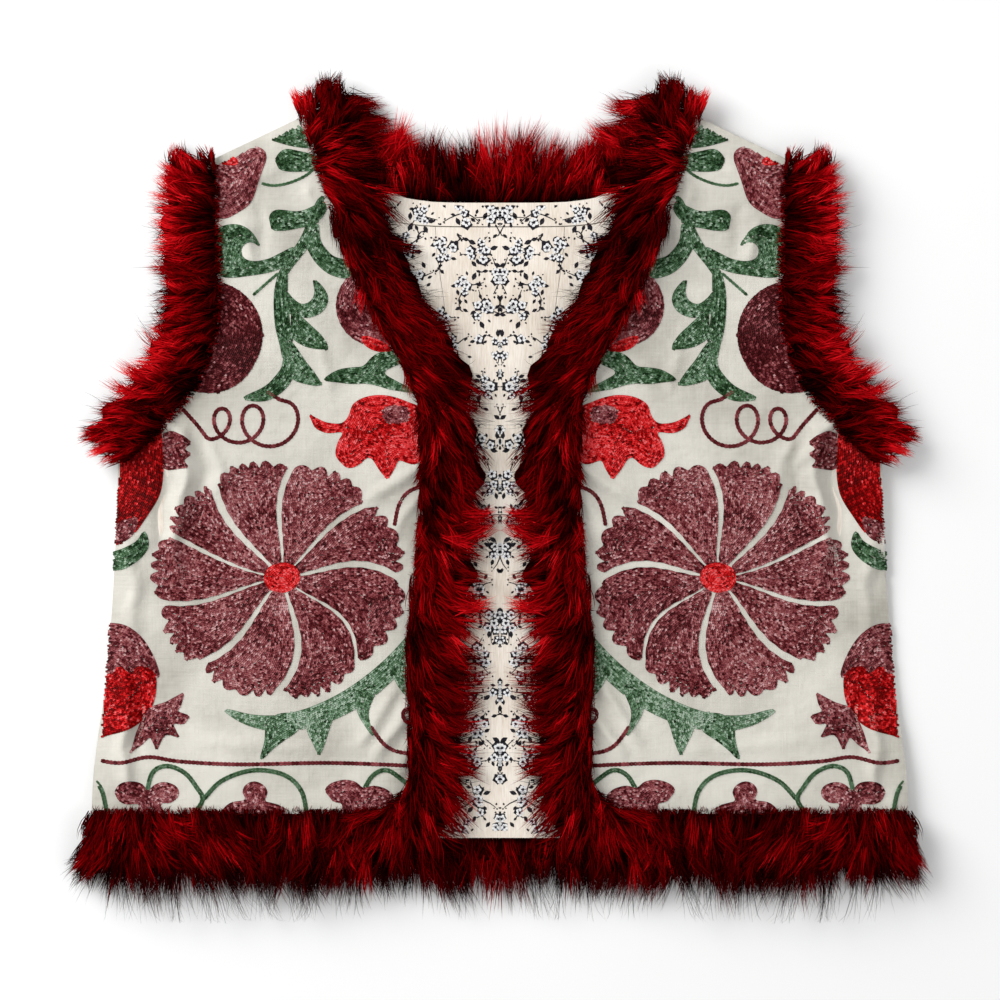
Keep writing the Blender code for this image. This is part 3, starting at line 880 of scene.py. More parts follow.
def scroll_motifs():
    """Pale green branch under the wheel, with leaves that hang from it."""
    branch = [(50, 150), (60, 133), (73, 117), (90, 102), (109, 90), (130, 81.5), (151, 78)]
    branch += [(170, 80), (188, 87)]
    return [
        Motif("green", blade(branch, 14.5, 0.8, 0.5), 0.24),
        curved("green", 0.16, (159, 80), (160, 66), (163, 53), (154, 61), (146, 67), (137, 74),
            (140, 84), (152, 84)),
        curved("green", 0.24, (132, 84), (131, 72), (128, 66), (123, 57), (119, 65), (116, 75),
            (112, 88), (122, 90)),
        curved("green", 0.16, (99, 101), (98, 90), (95, 81), (86, 69), (89, 80), (89, 88), (84, 102),
            (92, 104)),
        curved("green", 0.20, (75, 118), (71, 106), (63, 96), (56, 98), (56, 118), (66, 124)),
    ]


def border_motifs():
    """Row of small maroon blossoms above the hem."""
    return [
        curved("maroon", 0.0, (262, 31), (258, 37), (250, 38.5), (243, 36.5), (239.5, 32), (235, 36),
            (228, 38), (220, 35), (218.5, 29), (224, 24), (231, 23.5), (229, 15), (247, 15), (245, 23),
            (254, 23), (260, 26)),
        curved("maroon", 0.0, (160, 25), (158, 31), (161, 36), (167, 38.5), (173, 36), (175, 31),
            (173, 26), (183, 24), (189, 18), (188, 10), (146, 10), (146, 18), (151, 23)),
        curved("maroon", 0.0, (119, 32), (115, 37), (106, 39.5), (98, 38), (93, 34), (86, 35.5),
            (77, 33), (72, 27), (78, 22), (84, 21), (83, 12), (107, 12), (107, 23), (114, 25)),
    ]


def curl():
    """Tendril with two loops: a circle that rolls outwards, 20 mm a turn, while it is drawn."""
    angle = np.radians(np.linspace(80, 985, 60))
    radius = np.interp(angle, angle[[0, 25, 59]], [15, 12, 9.5])
    x = 152 + 21 * (angle - pi) / (2 * pi) + radius * np.cos(angle)
    y = 281 + 1.1 * radius * np.sin(angle)
    return np.vstack([[(159, 304)], np.stack([x, y], axis=1), [(206, 281), (216, 292)]])


Line = namedtuple("Line", "thread width rows path")


def front_lines():
    """Stems, tendrils and the border's line, in open chain stitch."""
    thin_green = [
        [(162, 445), (154, 443.5), (143, 445.5), (131, 451), (123, 459)],
        [(151, 384), (159, 377), (168, 369)],
    ]
    maroon = [
        [(88, 76), (80, 65), (71, 59), (56, 57)],
        [(52, 240), (63, 235), (69, 226), (72, 212)],
        [(58, 90), (66, 86), (64, 79), (56, 75)],
        [(282, 55), (260, 51), (239, 55), (218, 52), (177, 50), (116, 51), (56, 49)],
    ]
    vine = [
        [(279, 42), (271, 33), (267, 16)],
        [(240, 32), (236, 45), (226, 49), (214, 44), (206, 34), (202, 26), (210, 14)],
        [(202, 26), (189, 39), (168, 46), (147, 43), (135, 32), (131, 14)],
        [(92, 34), (86, 43), (76, 46), (62, 36)],
    ]
    lines = [Line("stem", 2.4, 1, curve_through(path)) for path in thin_green]
    lines += [Line("tendril", 3.3, 1, curve_through(path)) for path in maroon]
    lines += [Line("tendril", 3.3, 1, curl())]
    return lines + [Line("stem", 1.9, 2, curve_through(path)) for path in vine]


def in_a_row(line):
    """Starts and ends of a line's chain stitches, in one row or in rows side by side."""
    starts, ends = [], []
    for row in range(line.rows):
        path = even_steps(line.path, 0.5)
        beside = to_left(unit(np.gradient(path, axis=0)))
        path = path + 0.85 * line.width * (row - 0.5 * (line.rows - 1)) * beside
        length = distances(path)[-1]
        count = max(2, round(length / CHAIN))
        at = (np.arange(count) + 0.35 * row) * length / count
        starts.append(places_at(path, at))
        ends.append(places_at(path, at + OVERLAP * CHAIN))
    return np.vstack(starts), np.vstack(ends)


def front_cut():
    """The front's cut with x as the distance from the centre line, from the hem's corner up."""
    edges = [corner_arc(), edge_curve(FRONT_EDGE), edge_curve(ARMHOLE_EDGE)[::-1]]
    return np.abs(np.vstack(edges + [np.array([(-SIDE_X, 0.0)])]))


UNDER_FUR = 11.0  # how far the stitches go on under fur
FROM_SEAM = 2.2
FROM_EDGE = 1.0


def in_sight(points):
    """Which points of a front can be seen: on its cloth, and not too deep under fur."""
    cut = front_cut()
    bare_side = points[:, 1] < ARMHOLE_EDGE[0, 1]
    outwards = np.where(bare_side, FROM_SEAM, UNDER_FUR)[:, None] * [1, 0]
    seen = inside(points + outwards, cut) & inside(points - [UNDER_FUR, 0], cut)
    return seen & inside(points - [0, UNDER_FUR], cut) & inside(points + [0, FROM_EDGE], cut)


def raised(plan, lift):
    """Points of the plan at these heights over the front's cloth."""
    return np.concatenate([plan, (front_top(plan[..., 0], plan[..., 1]) + lift)[..., None]], axis=-1)


def left_side(points):
    """Points with x as the distance from the centre line, as points of the left front."""
    return points * [-1, 1, 1]


# A filling stitch's five points, from its start: height over the cloth and how light it is painted,
# with painted shade where it dips into the cloth and in its sunk middle, and painted light on its
# raised sides.
GRAIN_LIFT = np.array([0.22, 0.70, 0.70, 0.38, 0.42])
GRAIN_LIGHT = [0.10, 0.95, 0.95, 0.30, 0.55]
# The bed's four points are painted dark: painted shade in the gaps between stitches.
BED_LIGHT = [0.1] * 4
LOOSE = 0.05  # how far the points stray


def grains(starts, ends, tint, rng):
    """Filling stitches. Each is a loop of thread with two raised sides and a sunk middle, of
    five points and four triangles, over a flat bed of four points. The bed is thread painted
    darker, as painted shade in the gaps between stitches."""
    run = ends - starts
    count = len(run)
    ahead = unit(run)
    beside = to_left(ahead)
    side = beside * (0.56 * ROW * rng.uniform(0.9, 1.2, (count, 1)))
    tint = tint + 0.06 * np.sin(starts[:, 0] / 6.7 + 1.6 * np.sin(starts[:, 1] / 9.0))
    waist, middle = starts + 0.42 * run, starts + 0.5 * run
    far, wide = 2.4 * STEP * ahead, 0.63 * ROW * beside
    bed = [middle - far - wide, middle + far - wide, middle + far + wide, middle - far + wide]
    plan = np.stack([starts, waist + side, waist - side, middle, ends] + bed, axis=1)
    plan[:, :5] += rng.normal(0, LOOSE, (count, 5, 2))
    lift = GRAIN_LIFT * rng.uniform(0.85, 1.15, (count, 1))
    lift = np.hstack([lift, np.repeat(rng.uniform(0.10, 0.18, (count, 1)), 4, axis=1)])
    pattern = np.array([(0, 2, 3), (0, 3, 1), (2, 4, 3), (3, 4, 1), (5, 6, 7), (5, 7, 8)])
    v = np.broadcast_to(GRAIN_LIGHT + BED_LIGHT, (count, 9))
    # The bed takes a lower tint than its stitch: painted shade in the gaps between stitches.
    u = np.repeat(np.stack([tint, tint - 0.15], axis=1), [5, 4], axis=1)
    uv = np.stack([np.clip(u, 0.01, 0.99), v], axis=2).reshape(-1, 2)
    points = left_side(raised(plan, lift).reshape(-1, 3))
    return points, repeated(pattern[:, ::-1], 9, count), uv


# A chain stitch's leg at its three stations: share of the length, distance from the middle and
# height of its back, and how light its two low sides and its back are painted: painted shade on
# the low sides, painted light on the back.
LEG_SHARE = np.array([0.0, 0.45, 1.0])
LEG_OFF = np.array([0.08, 0.24, 0.10])
LEG_LOW, LEG_RISE = np.full(3, 0.08), np.array([0.35, 0.78, 0.62])
LEG_LIGHT = [0.2, 0.2, 0.85, 0.2, 0.2, 1.0, 0.2, 0.2, 0.6]


def chains(starts, ends, width, tint):
    """Open chain stitches. Each has two bent legs that meet at both ends and leave a hole
    between them. A leg is a three-sided tube through three stations, closed at its ends."""
    count = len(starts)
    run = ends - starts
    beside = to_left(unit(run))
    off, thick = width * LEG_OFF, 0.22 * width
    middle = starts[:, None] + run[:, None] * LEG_SHARE[None, :, None]
    made = []
    for side in (1, -1):
        rings = []
        for shift, lift in ((thick, LEG_LOW), (-thick, LEG_LOW), (0.0, LEG_RISE)):
            plan = middle + side * beside[:, None] * (off + shift)[None, :, None]
            rings.append(raised(plan, np.broadcast_to(lift, (count, 3))))
        made.append(np.stack(rings, axis=2).reshape(count, 9, 3))
    corner = ((0, 1), (1, 2), (2, 0))
    quads = np.array([(a + k, b + k, b + k + 3, a + k + 3) for k in (0, 3) for a, b in corner])
    leg = np.vstack([quads[:, [0, 1, 2]], quads[:, [0, 2, 3]], [(0, 2, 1), (6, 7, 8)]])
    # The second leg is the first one turned over, and so are its faces. Both are turned once
    # more by left_side().
    faces = repeated(np.vstack([leg[:, ::-1], leg + 9]), 18, count)
    v = np.broadcast_to(np.tile(LEG_LIGHT, 2), (count, 18))
    uv = np.stack([np.broadcast_to(tint[:, None], (count, 18)), v], axis=2).reshape(-1, 2)
    return left_side(np.concatenate(made, axis=1).reshape(-1, 3)), faces, uv


def sewn_fillings():
    """All filling stitches of a front: starts, ends, thread and shade. What is sewn later takes
    the place of what it covers."""
    starts, ends = np.zeros((0, 2)), np.zeros((0, 2))
    threads, shades = np.zeros(0, "U8"), np.zeros(0)
    motifs = shoulder_motifs() + tulip_motifs() + side_motifs() + wheel_motifs()
    motifs += scroll_motifs() + border_motifs()
    for motif in motifs:
        first, last = filling(motif.outline)
        bare = ~inside(0.5 * (starts + ends), motif.outline)
        starts, ends = np.vstack([starts[bare], first]), np.vstack([ends[bare], last])
        threads = np.append(threads[bare], np.full(len(first), motif.thread))
        shades = np.append(shades[bare], np.full(len(first), motif.shade))
    for motif in reversed(motifs):
        first, last = patching(motif.outline, starts, ends)
        starts, ends = np.vstack([starts, first]), np.vstack([ends, last])
        threads = np.append(threads, np.full(len(first), motif.thread))
        shades = np.append(shades, np.full(len(first), motif.shade - 0.05))
    seen = in_sight(0.5 * (starts + ends))
    return starts[seen], ends[seen], threads[seen], shades[seen]


def sheen(points):
    """Slow change of a thread's tint over the cloth."""
    x, y = points.T
    return 0.05 * np.sin(x / 9 + 1.7 * np.sin(y / 14)) + 0.04 * np.sin(y / 6.3 + x / 21)


# Positions of a thread's dyes, from its darkest stitches to its lightest, and the dyes. The
# lightest dye is pale, for the painted glints, painted highlights of the glossy thread.
DYE_STEPS = (0.0, 0.30, 0.56, 0.80, 1.0)
MAROON = [
    (0.035, 0.002, 0.003), (0.115, 0.013, 0.016), (0.295, 0.068, 0.076),
    (0.50, 0.195, 0.20), (0.68, 0.40, 0.40),
]
RED = [
    (0.10, 0.0003, 0.0003), (0.33, 0.001, 0.0015), (0.75, 0.015, 0.017),
    (0.93, 0.070, 0.075), (0.90, 0.15, 0.155),
]
GREEN = [
    (0.005, 0.018, 0.004), (0.024, 0.064, 0.022), (0.076, 0.158, 0.076),
    (0.20, 0.325, 0.205), (0.42, 0.53, 0.41),
]


def thread_look(name, roughness, dyes):
    """Glossy thread. The dye goes by u, each stitch's own tint, and is darker where v is low:
    painted shade in the middle of a stitch and where it dips into the cloth, and painted light
    where v is high, on its raised parts."""
    look = Look(name, roughness=roughness, specular=0.04)
    u, v = look.along()
    twist = look.noise(look.place(), 1500.0, 2.0)
    shade = look.ramp(v, *greys((0.0, 0.55), (0.5, 0.85), (1.0, 1.08)))
    dye = look.ramp(u + (twist - 0.5) * 0.5, *zip(DYE_STEPS, dyes))
    return look.finish(Base_Color=look.times(dye, shade), Normal=look.bump(twist, 0.0003, 0.6))


THREADS = {
    "maroon": thread_look("maroon_thread", 0.36, MAROON),
    "red": thread_look("red_thread", 0.38, RED),
    "green": thread_look("green_thread", 0.42, GREEN),
}

MIDDLE_TINT = 0.53
TINT_SPREAD = 0.18
# Shares of stitches tinted dark, and of stitches painted pale as glints, which are painted highlights.
DARK_SHARE, GLINT_SHARE = 0.13, 0.11


def tinted(rng, count, shade):
    """Tints of stitches: mostly near the middle, some dark, and a few painted pale as glints,
    painted highlights of the glossy thread.
    """
    tint = MIDDLE_TINT + shade + rng.normal(0, TINT_SPREAD, count)
    odd = rng.uniform(0, 1, count)
    lighter = np.where(odd > 1 - GLINT_SHARE, tint + 0.32, tint)
    tint = np.where(odd < DARK_SHARE, tint - 0.28, lighter)
    return np.clip(tint, 0.02, 0.98)


def embroider():
    """Every stitch of both fronts, in one piece for each thread."""
    rng = np.random.default_rng(71)
    starts, ends, threads, shades = sewn_fillings()
    made = []
    for thread in THREADS:
        own = threads == thread
        tint = tinted(rng, own.sum(), shades[own] + sheen(starts[own]))
        made.append((thread, thread, [grains(starts[own], ends[own], tint, rng)]))
    for kind, thread, shade in (("tendril", "maroon", -0.20), ("stem", "green", 0.03)):
        parts = []
        for line in front_lines():
            if line.thread == kind:
                first, last = in_a_row(line)
                seen = in_sight(0.5 * (first + last)) & (np.hypot(*(last - first).T) > 0.6)
                tint = 0.45 * tinted(rng, seen.sum(), shade) + 0.55 * (0.52 + shade)
                parts.append(chains(first[seen], last[seen], line.width, tint))
        made.append((kind, thread, parts))
    for kind, thread, parts in made:
        shape = both_halves(*joined_parts(parts))
        mesh_piece(f"embroidery_{kind}", *shape, "cream_cotton", THREADS[thread], smooth=False)


embroider()

# ---- lining print --------------------------------------------------------------------------
#
# Sprigs of small blossoms, laid on the left half of the lining as thin films of ink and turned
# over for the right half, as the cloth itself is.

Ink = namedtuple("Ink", "colour lift")
INKS = {
    "dark": Ink((0.008, 0.007, 0.012), 0.10),
    "dusk": Ink((0.23, 0.24, 0.32), 0.15),
    "pale": Ink((0.80, 0.80, 0.80), 0.20),
    "heart": Ink((0.014, 0.011, 0.018), 0.25),
}
SPRIG_PITCH = 27.0
ROW_PITCH = 0.86 * SPRIG_PITCH
PRINT_TOP, PRINT_WIDTH = 440.0, 112.0
PRINT_UNDER_FRONT = 14
FROM_NECK, PRINT_FROM_HEM = 1.5, 2.5


def fans(centres, radii, turns):
    """Flat shapes about their centres, as fans of triangles. radii has a row for each shape and
    a column for each angle, and turns is each shape's own turn."""
    count, corners = radii.shape
    angle = np.linspace(0, 2 * pi, corners, endpoint=False)[None] + turns[:, None]
    rim = centres[:, None] + radii[..., None] * heading(angle)
    points = np.concatenate([centres[:, None], rim], axis=1)
    k = np.arange(1, corners + 1)
    fan = np.stack([0 * k, k, k % corners + 1], axis=1)
    return points.reshape(-1, 2), repeated(fan, corners + 1, count)


def ribbons(starts, ends, bend, width):
    """Thin bent twigs of three spans, each a strip of triangles."""
    t = np.array([0, 0.34, 0.68, 1.0])[None, :, None]
    run = ends - starts
    across = to_left(unit(run))
    middle = starts[:, None] + run[:, None] * t + (bend[:, None] * across)[:, None] * 4 * t * (1 - t)
    half = 0.5 * width * np.array([1, 0.9, 0.75, 0.5])[None, :, None] * across[:, None]
    points = np.stack([middle + half, middle - half], axis=2).reshape(-1, 2)
    spans = [(k, k + 1, k + 3) for k in (0, 2, 4)] + [(k, k + 3, k + 2) for k in (0, 2, 4)]
    return points, repeated(spans, 8, len(run))


def around(centres, count, distance, turns, rng, loose=0.0):
    """count places about each centre at a distance, evenly turned, with some looseness."""
    angle = turns[:, None] + 2 * pi * np.arange(count)[None] / count
    angle = angle + rng.normal(0, loose, angle.shape)
    reach = distance * (1 + rng.normal(0, loose, angle.shape))
    return (centres[:, None] + reach[..., None] * heading(angle)).reshape(-1, 2), angle.ravel()


def sprig_shapes():
    """Flat shapes of the whole print by ink. Clusters of blossoms stand on a loose hexagonal grid,
    with dark leaves about them and twigs that end in buds, and small sprigs stand between them."""
    rng = np.random.default_rng(23)
    rows, columns = int(PRINT_TOP / ROW_PITCH) + 1, int(PRINT_WIDTH / SPRIG_PITCH) + 1
    row, column = (a.ravel() for a in np.meshgrid(np.arange(rows), np.arange(columns)))
    grid = np.stack([-(column + 0.5 * (row % 2)), (row + 0.3) * 0.86], axis=1) * SPRIG_PITCH
    sprigs = grid + rng.uniform(-4.6, 4.6, grid.shape)
    small = grid + [0.5 * SPRIG_PITCH, 0.29 * SPRIG_PITCH] + rng.uniform(-2.5, 2.5, grid.shape)
    turn, small_turn = rng.uniform(0, 2 * pi, (2, len(sprigs)))
    ring, _ = around(sprigs, 5, 5.5, turn, rng, 0.2)
    ring = ring[rng.uniform(0, 1, len(ring)) < 0.78]
    single = small[rng.uniform(0, 1, len(small)) < 0.35] + [0.0, 1.2]
    blossoms = np.vstack([ring, sprigs, single])
    face = rng.uniform(0, 2 * pi, len(blossoms))
    beside = blossoms + 1.1 * heading(3 * face)
    size = rng.uniform(0.8, 1.3, len(blossoms))
    wave = np.abs(np.cos(2.5 * np.linspace(0, 2 * pi, 15, endpoint=False)))
    petals, _ = around(blossoms, 5, 1.75, face, rng, 0.12)
    hearts, _ = around(blossoms, 3, 0.95, face + 0.6, rng, 0.25)
    leaves, leaf_turn = around(sprigs, 8, 8.2, turn + 0.4, rng, 0.17)
    sprouts, sprout_turn = around(small, 3, 3.4, small_turn, rng, 0.3)
    tufts, tuft_turn = around(sprigs, 3, 12.6, turn + 0.2, rng, 0.15)
    buds, bud_turn = around(tufts, 3, 1.9, rng.uniform(0, 2 * pi, len(tufts)), rng, 0.3)
    oval = np.array([1.0, 0.55, 0.5, 0.85, 0.5, 0.55])
    dab = np.array([1.0, 0.7, 0.9, 0.75, 0.7])
    twig_ends = np.vstack([tufts, sprouts])
    twig_starts = np.repeat(np.vstack([sprigs, small]), 3, axis=0)
    leaf_size = rng.uniform(1.2, 3.3, len(leaves))
    sprout_size = rng.uniform(1.3, 2.7, len(sprouts))
    return {
        "dark": [
            fans(beside, size[:, None] * (1.9 + 1.6 * wave)[None], face + 0.3),
            fans(leaves, leaf_size[:, None] * oval[None], leaf_turn + rng.normal(0.4, 0.5, len(leaves))),
            fans(sprouts, sprout_size[:, None] * oval[None], sprout_turn),
            fans(buds, rng.uniform(0.6, 1.1, len(buds))[:, None] * dab[None], bud_turn),
            ribbons(twig_starts, twig_ends, rng.normal(0, 0.9, len(twig_ends)), 0.9),
        ],
        "dusk": [fans(blossoms + [0.9, -0.9], np.outer(size, 1.6 * dab), face)],
        "pale": [fans(petals, np.outer(np.repeat(size, 5), np.full(6, 1.1)), np.zeros(len(petals)))],
        "heart": [
            fans(hearts, np.full((len(hearts), 3), 0.55), np.zeros(len(hearts))),
            fans(blossoms, np.outer(size, 1.15 * dab), face),
        ],
    }


def print_look(name, colour):
    """A film of ink, thinner where the weave's threads dip."""
    look = Look(name, roughness=0.62, specular=0.1)
    wear = look.noise(look.place(), 900.0, 3.0)
    lighter = tuple(0.92 * c + 0.03 for c in colour)
    return look.finish(Base_Color=look.ramp(wear, (0.42, colour), (0.78, lighter)))


def lining_cut(points):
    """Which points lie on the part of the lining that shows, and a little further under the
    fronts."""
    x, y = np.abs(points[:, 0]), points[:, 1]
    neck = NECK_Y + NECK_RISE * (x / NECK_X) ** 5
    covered = np.interp(y, FRONT_EDGE[:, 1], FRONT_EDGE[:, 0]) + PRINT_UNDER_FRONT
    return (y < neck - FROM_NECK) & (y > PRINT_FROM_HEM) & (x < np.minimum(covered, PRINT_WIDTH))


def print_lining():
    """The inks as joined flat meshes just over the lining, without what would cross its edges."""
    for name, shapes in sprig_shapes().items():
        ink = INKS[name]
        parts = []
        for plan, faces in shapes:
            whole = lining_cut(plan)[faces].all(axis=1) & (plan[faces][..., 0] < 1.5).all(axis=1)
            used, faces = np.unique(faces[whole], return_inverse=True)
            plan = plan[used]
            height = lining_top(np.minimum(plan[:, 0], 0), plan[:, 1]) + ink.lift
            parts.append((np.column_stack([plan, height]), faces.reshape(-1, 3), plan))
        points, faces, _ = both_halves(*joined_parts(parts))
        look = print_look("print_" + name, ink.colour)
        mesh_piece("print_" + name, points, faces, None, "printed_lining", look, smooth=False)


print_lining()

# ---- fur -----------------------------------------------------------------------------------

LOWEST = -57.0  # how far below the hem's edge the longest hairs reach

# A strip of fur: its path, 1 or -1 for the side of the path that points out, where the roots
# begin and end across the path, how far the strip reaches, how high its hair stands, over what,
# and how long it is. Then its dye, how much brighter the tips are, its locks per millimetre, the
# hairs of a lock, how far they draw together, the guard hairs per millimetre and their length,
# and its rows of Turn. trim is how much shorter the innermost hairs are, and pelt is how far the
# underfur reaches, both as shares.
Strip = namedtuple(
    "Strip",
    "name path outward inner outer reach height floor length dye tip locks hairs pinch guards turns"
    " trim pelt",
    defaults=(0.0, 0.62),
)

# Rows along a strip: the share of its length, the hair's lean from straight out in degrees, how
# much more it leans at the outer side than at the inner, its length as a share of the strip's,
# how much brighter its dye is, and how much brighter it is painted at the outer side than at the
# inner, as painted light and shade across the strip. A lean is positive along the path.
Turn = namedtuple("Turn", "at lean fan length dye across", defaults=(0.0, 0.0))


def along_strip(strip, s, total):
    """The columns of the strip's table at distances s."""
    at = [turn.at * total for turn in strip.turns]
    return Turn(*(np.interp(s, at, column) for column in zip(*strip.turns)))


def frame_of(strip):
    """Distances at 1 mm steps along the strip, its places there, its tangents and its normals,
    which point out."""
    steps = np.hypot(*np.diff(strip.path, axis=0).T)
    path = strip.path[np.append(True, steps > 1e-6)]
    s = np.arange(0, distances(path)[-1], 1.0)
    places = places_at(path, s)
    tangents = unit(np.gradient(places, axis=0))
    return s, places, tangents, to_left(tangents) * -strip.outward


def rooted(strip, k, a, angle):
    """Roots at distances a out from the strip's places k, the directions at an angle from
    straight out, and a."""
    _, places, tangents, normals = frame_of(strip)
    out = np.cos(angle)[:, None] * normals[k] + np.sin(angle)[:, None] * tangents[k]
    return places[k] + a[:, None] * normals[k], out, a


def swell(s, a, seed):
    """Slow unevenness over a strip: waves along it, shifted with the distance across it."""
    wave = np.sin(s / 17 + 0.05 * a + seed) + 0.8 * np.sin(s / 7.9 - 0.08 * a + 2.3 * seed)
    return (wave + 0.7 * np.sin(s / 31 + 4.1 * seed)) / 2.5


SHORT_OF_MIDDLE = 2.0
SHORTEST_ROOM = 5.0


def short_of_middle(strip, root, out, length):
    """Hair lengths along the opening, cut so that no hair of a front reaches the other one's."""
    if strip.name != "front":
        return length
    room = np.maximum(-SHORT_OF_MIDDLE - root[:, 0], SHORTEST_ROOM)
    return np.minimum(length, room / np.maximum(out[:, 0], 0.05))


GOLDEN = 0.618034  # steps of this share spread the roots evenly over a strip's width
SWAY = 14  # slow change of the lean along a strip, in degrees
HAIR_SPREAD = 3.1  # how far a lock's hairs start from its root
MOST_SPREAD = 2.2  # the furthest of them, as a multiple of that
HAIR_STATIONS = np.array([0, 0.3, 0.66, 1.0])[None, :, None]
HAIR_STANCE = np.array([0.05, 0.74, 0.95, 0.52])  # height at the stations, as a share of the rise
HAIR_TAPER = np.array([0.9, 1.0, 0.72])
BLACK_SHARE = 0.05


def hair_piece(strip, seed, mirror):
    """Hair of one strip, in locks. A lock has its own root, lean, length, rise and dye. Each of
    its hairs starts beside the lock's root and is drawn in to the lock's line towards the tip:
    place = root + length * t * direction + bend * t^2 + own offset * (1 - pinch * t^1.3). The
    middle of a lock is higher than its sides, and its hairs are painted brighter there: painted
    light on a lock's middle, and painted shade on its sides and on its lower hairs."""
    rng = np.random.default_rng(seed)
    s, _, tangents, normals = frame_of(strip)
    total = s[-1]
    locks = int(strip.locks * total)
    lock_s = total * ((np.arange(locks) + rng.uniform(0, 1, locks)) / locks * 1.05 - 0.025)
    lock_s = np.clip(lock_s, 0, total)
    share = (np.arange(locks) * GOLDEN + rng.uniform(-0.08, 0.08, locks)) % 1.0
    lock_a = strip.inner + (strip.outer - strip.inner) * share
    turn = along_strip(strip, lock_s, total)
    sway = SWAY * swell(lock_s, lock_a, seed)
    lean = turn.lean + turn.fan * (share - 0.5) + sway + rng.normal(0, 8, locks)
    length = strip.length * turn.length * rng.uniform(0.78, 1.2, locks)
    length *= 1 - strip.trim * (1 - share) ** 2
    length *= 1 + 0.16 * swell(lock_s, 0, seed + 5)
    rise = strip.height * rng.uniform(0.66, 1.1, locks) * (1 + 0.12 * swell(lock_s, lock_a, seed + 2))
    patch = swell(lock_s, 2 * lock_a, seed + 9)
    # turn.across adds painted light and shade that differ between the strip's outer and inner sides.
    dye = strip.dye + turn.dye + turn.across * (share - 0.5)
    dye = dye + 0.16 * patch + rng.normal(0, 0.10, locks)
    bend = rng.normal(0, 5.0, locks)

    lock = np.repeat(np.arange(locks), strip.hairs)
    count = len(lock)
    k = np.clip(lock_s[lock].astype(int), 0, len(s) - 1)
    angle = np.radians(lean[lock] + rng.normal(0, 5.5, count))
    root, out, _ = rooted(strip, k, lock_a[lock], angle)
    beside = to_left(out)
    spread = np.clip(rng.normal(0, 1, (count, 2)), -MOST_SPREAD, MOST_SPREAD) * HAIR_SPREAD
    own = spread[:, :1] * tangents[k] + spread[:, 1:] * normals[k]
    own_a = lock_a[lock] + spread[:, 1]
    edge = strip.inner + 0.9 * np.sin(lock_s / 6.1)[lock] + 0.7 * np.sin(lock_s / 2.3)[lock]
    too_far_in = np.maximum(edge - own_a, 0)[:, None]
    own = own + too_far_in * normals[k]
    aside = np.abs(np.sum(own * beside, axis=1)) / 4.0
    layer = rng.uniform(0.10, 1, count) ** 0.6
    own_length = length[lock] * rng.uniform(0.5, 1.08, count) * (1 - 0.12 * aside)
    own_length = short_of_middle(strip, root, out, own_length)
    pinch = np.clip(rng.normal(strip.pinch, 0.13, count), 0.2, 0.95)
    t = HAIR_STATIONS
    plan = root[:, None] + (own_length[:, None] * out)[:, None] * t
    plan = plan + (bend[lock][:, None] * beside)[:, None] * t**2
    plan = plan + own[:, None] * (1 - pinch[:, None, None] * t**1.3)
    stance = HAIR_STANCE + rng.normal(0, 0.035, (count, 4))
    base = strip.floor(root[:, 0], root[:, 1], own_a)[:, None]
    height = base + (layer * rise[lock] * (1 - 0.22 * np.minimum(aside, 1.4) ** 2))[:, None] * stance
    width = rng.uniform(0.42, 0.62, count)[:, None] * HAIR_TAPER
    # Painted light and shade: hairs at a lock's sides are painted darker, and low hairs darker than high
    # ones.
    tint = dye[lock] + 0.16 - 0.24 * aside + 0.26 * (layer - 0.7) + rng.normal(0, 0.035, count)
    black = rng.uniform(0, 1, count) < BLACK_SHARE
    tint = np.where(black, rng.uniform(0.02, 0.2, count), np.clip(tint, 0.08, 0.985))
    return hair_mesh(plan, height, width, rng.normal(0, radians(26), count), tint, strip.tip, mirror)


LOWEST_LINE = 0.5  # least height of a hair's own line
LOWEST_SIDE = 0.3  # and of its sides
HAIR_V = np.array([0.02, 0.02, 0.32, 0.32, 0.66, 0.66, 0.98])


def hair_mesh(plan, height, width, roll, tint, tip, mirror):
    """Hairs as tapering blades of five triangles, each turned about its own line by roll. tip is
    how much brighter a hair's end is than its root."""
    count = len(plan)
    run = plan[:, 1:] - plan[:, :-1]
    run /= np.linalg.norm(run, axis=2, keepdims=True)
    beside = to_left(run)
    half = 0.5 * width[..., None]
    flat = beside * np.cos(roll)[:, None, None] * half
    up = np.sin(roll)[:, None, None] * half
    plan = np.stack([plan[..., 0], np.maximum(plan[..., 1], LOWEST)], axis=2)
    points = np.concatenate([plan, np.maximum(height, LOWEST_LINE)[..., None]], axis=2)
    offset = np.concatenate([flat, up], axis=2)
    middle = points[:, :3]
    sides = np.stack([middle + offset, middle - offset], axis=2).reshape(count, 6, 3)
    points = np.concatenate([sides, points[:, 3:]], axis=1)
    points[..., 2] = np.maximum(points[..., 2], LOWEST_SIDE)
    pattern = np.array([(0, 1, 3), (0, 3, 2), (2, 3, 5), (2, 5, 4), (4, 5, 6)])
    faces = repeated(pattern, 7, count)
    side = np.array([-1, 1, -1, 1, -1, 1, 0]) * 0.004
    u = tint[:, None] + side + tip * (HAIR_V - 0.5)
    uv = np.stack([u, np.broadcast_to(HAIR_V, (count, 7))], axis=2)
    points, uv = points.reshape(-1, 3), uv.reshape(-1, 2)
    if mirror:
        points, faces = turned_over(points), faces[:, ::-1]
    return points, faces, np.clip(uv, 0.001, 0.999)


STATIONS = np.array([0, 0.33, 0.68, 1.0])[None, :, None]  # along a guard hair or a short one
TAPER = np.array([1.0, 0.9, 0.6])  # of its width, at the first three of them


def thin_hairs(strip, mirror, roots, length, bend, above, width, tint, roll):
    """Single hairs from roots that rooted() gives, bent sideways, at heights above the cloth."""
    root, out, a = roots
    plan = root[:, None] + (length[:, None] * out)[:, None] * STATIONS
    plan = plan + (bend[:, None] * to_left(out))[:, None] * STATIONS**2
    height = strip.floor(root[:, 0], root[:, 1], a)[:, None] + above
    return hair_mesh(plan, height, width[:, None] * TAPER, roll, tint, 0.0, mirror)


TUFT = 8.0  # length of strip that shares a tuft of guard hairs, or has none


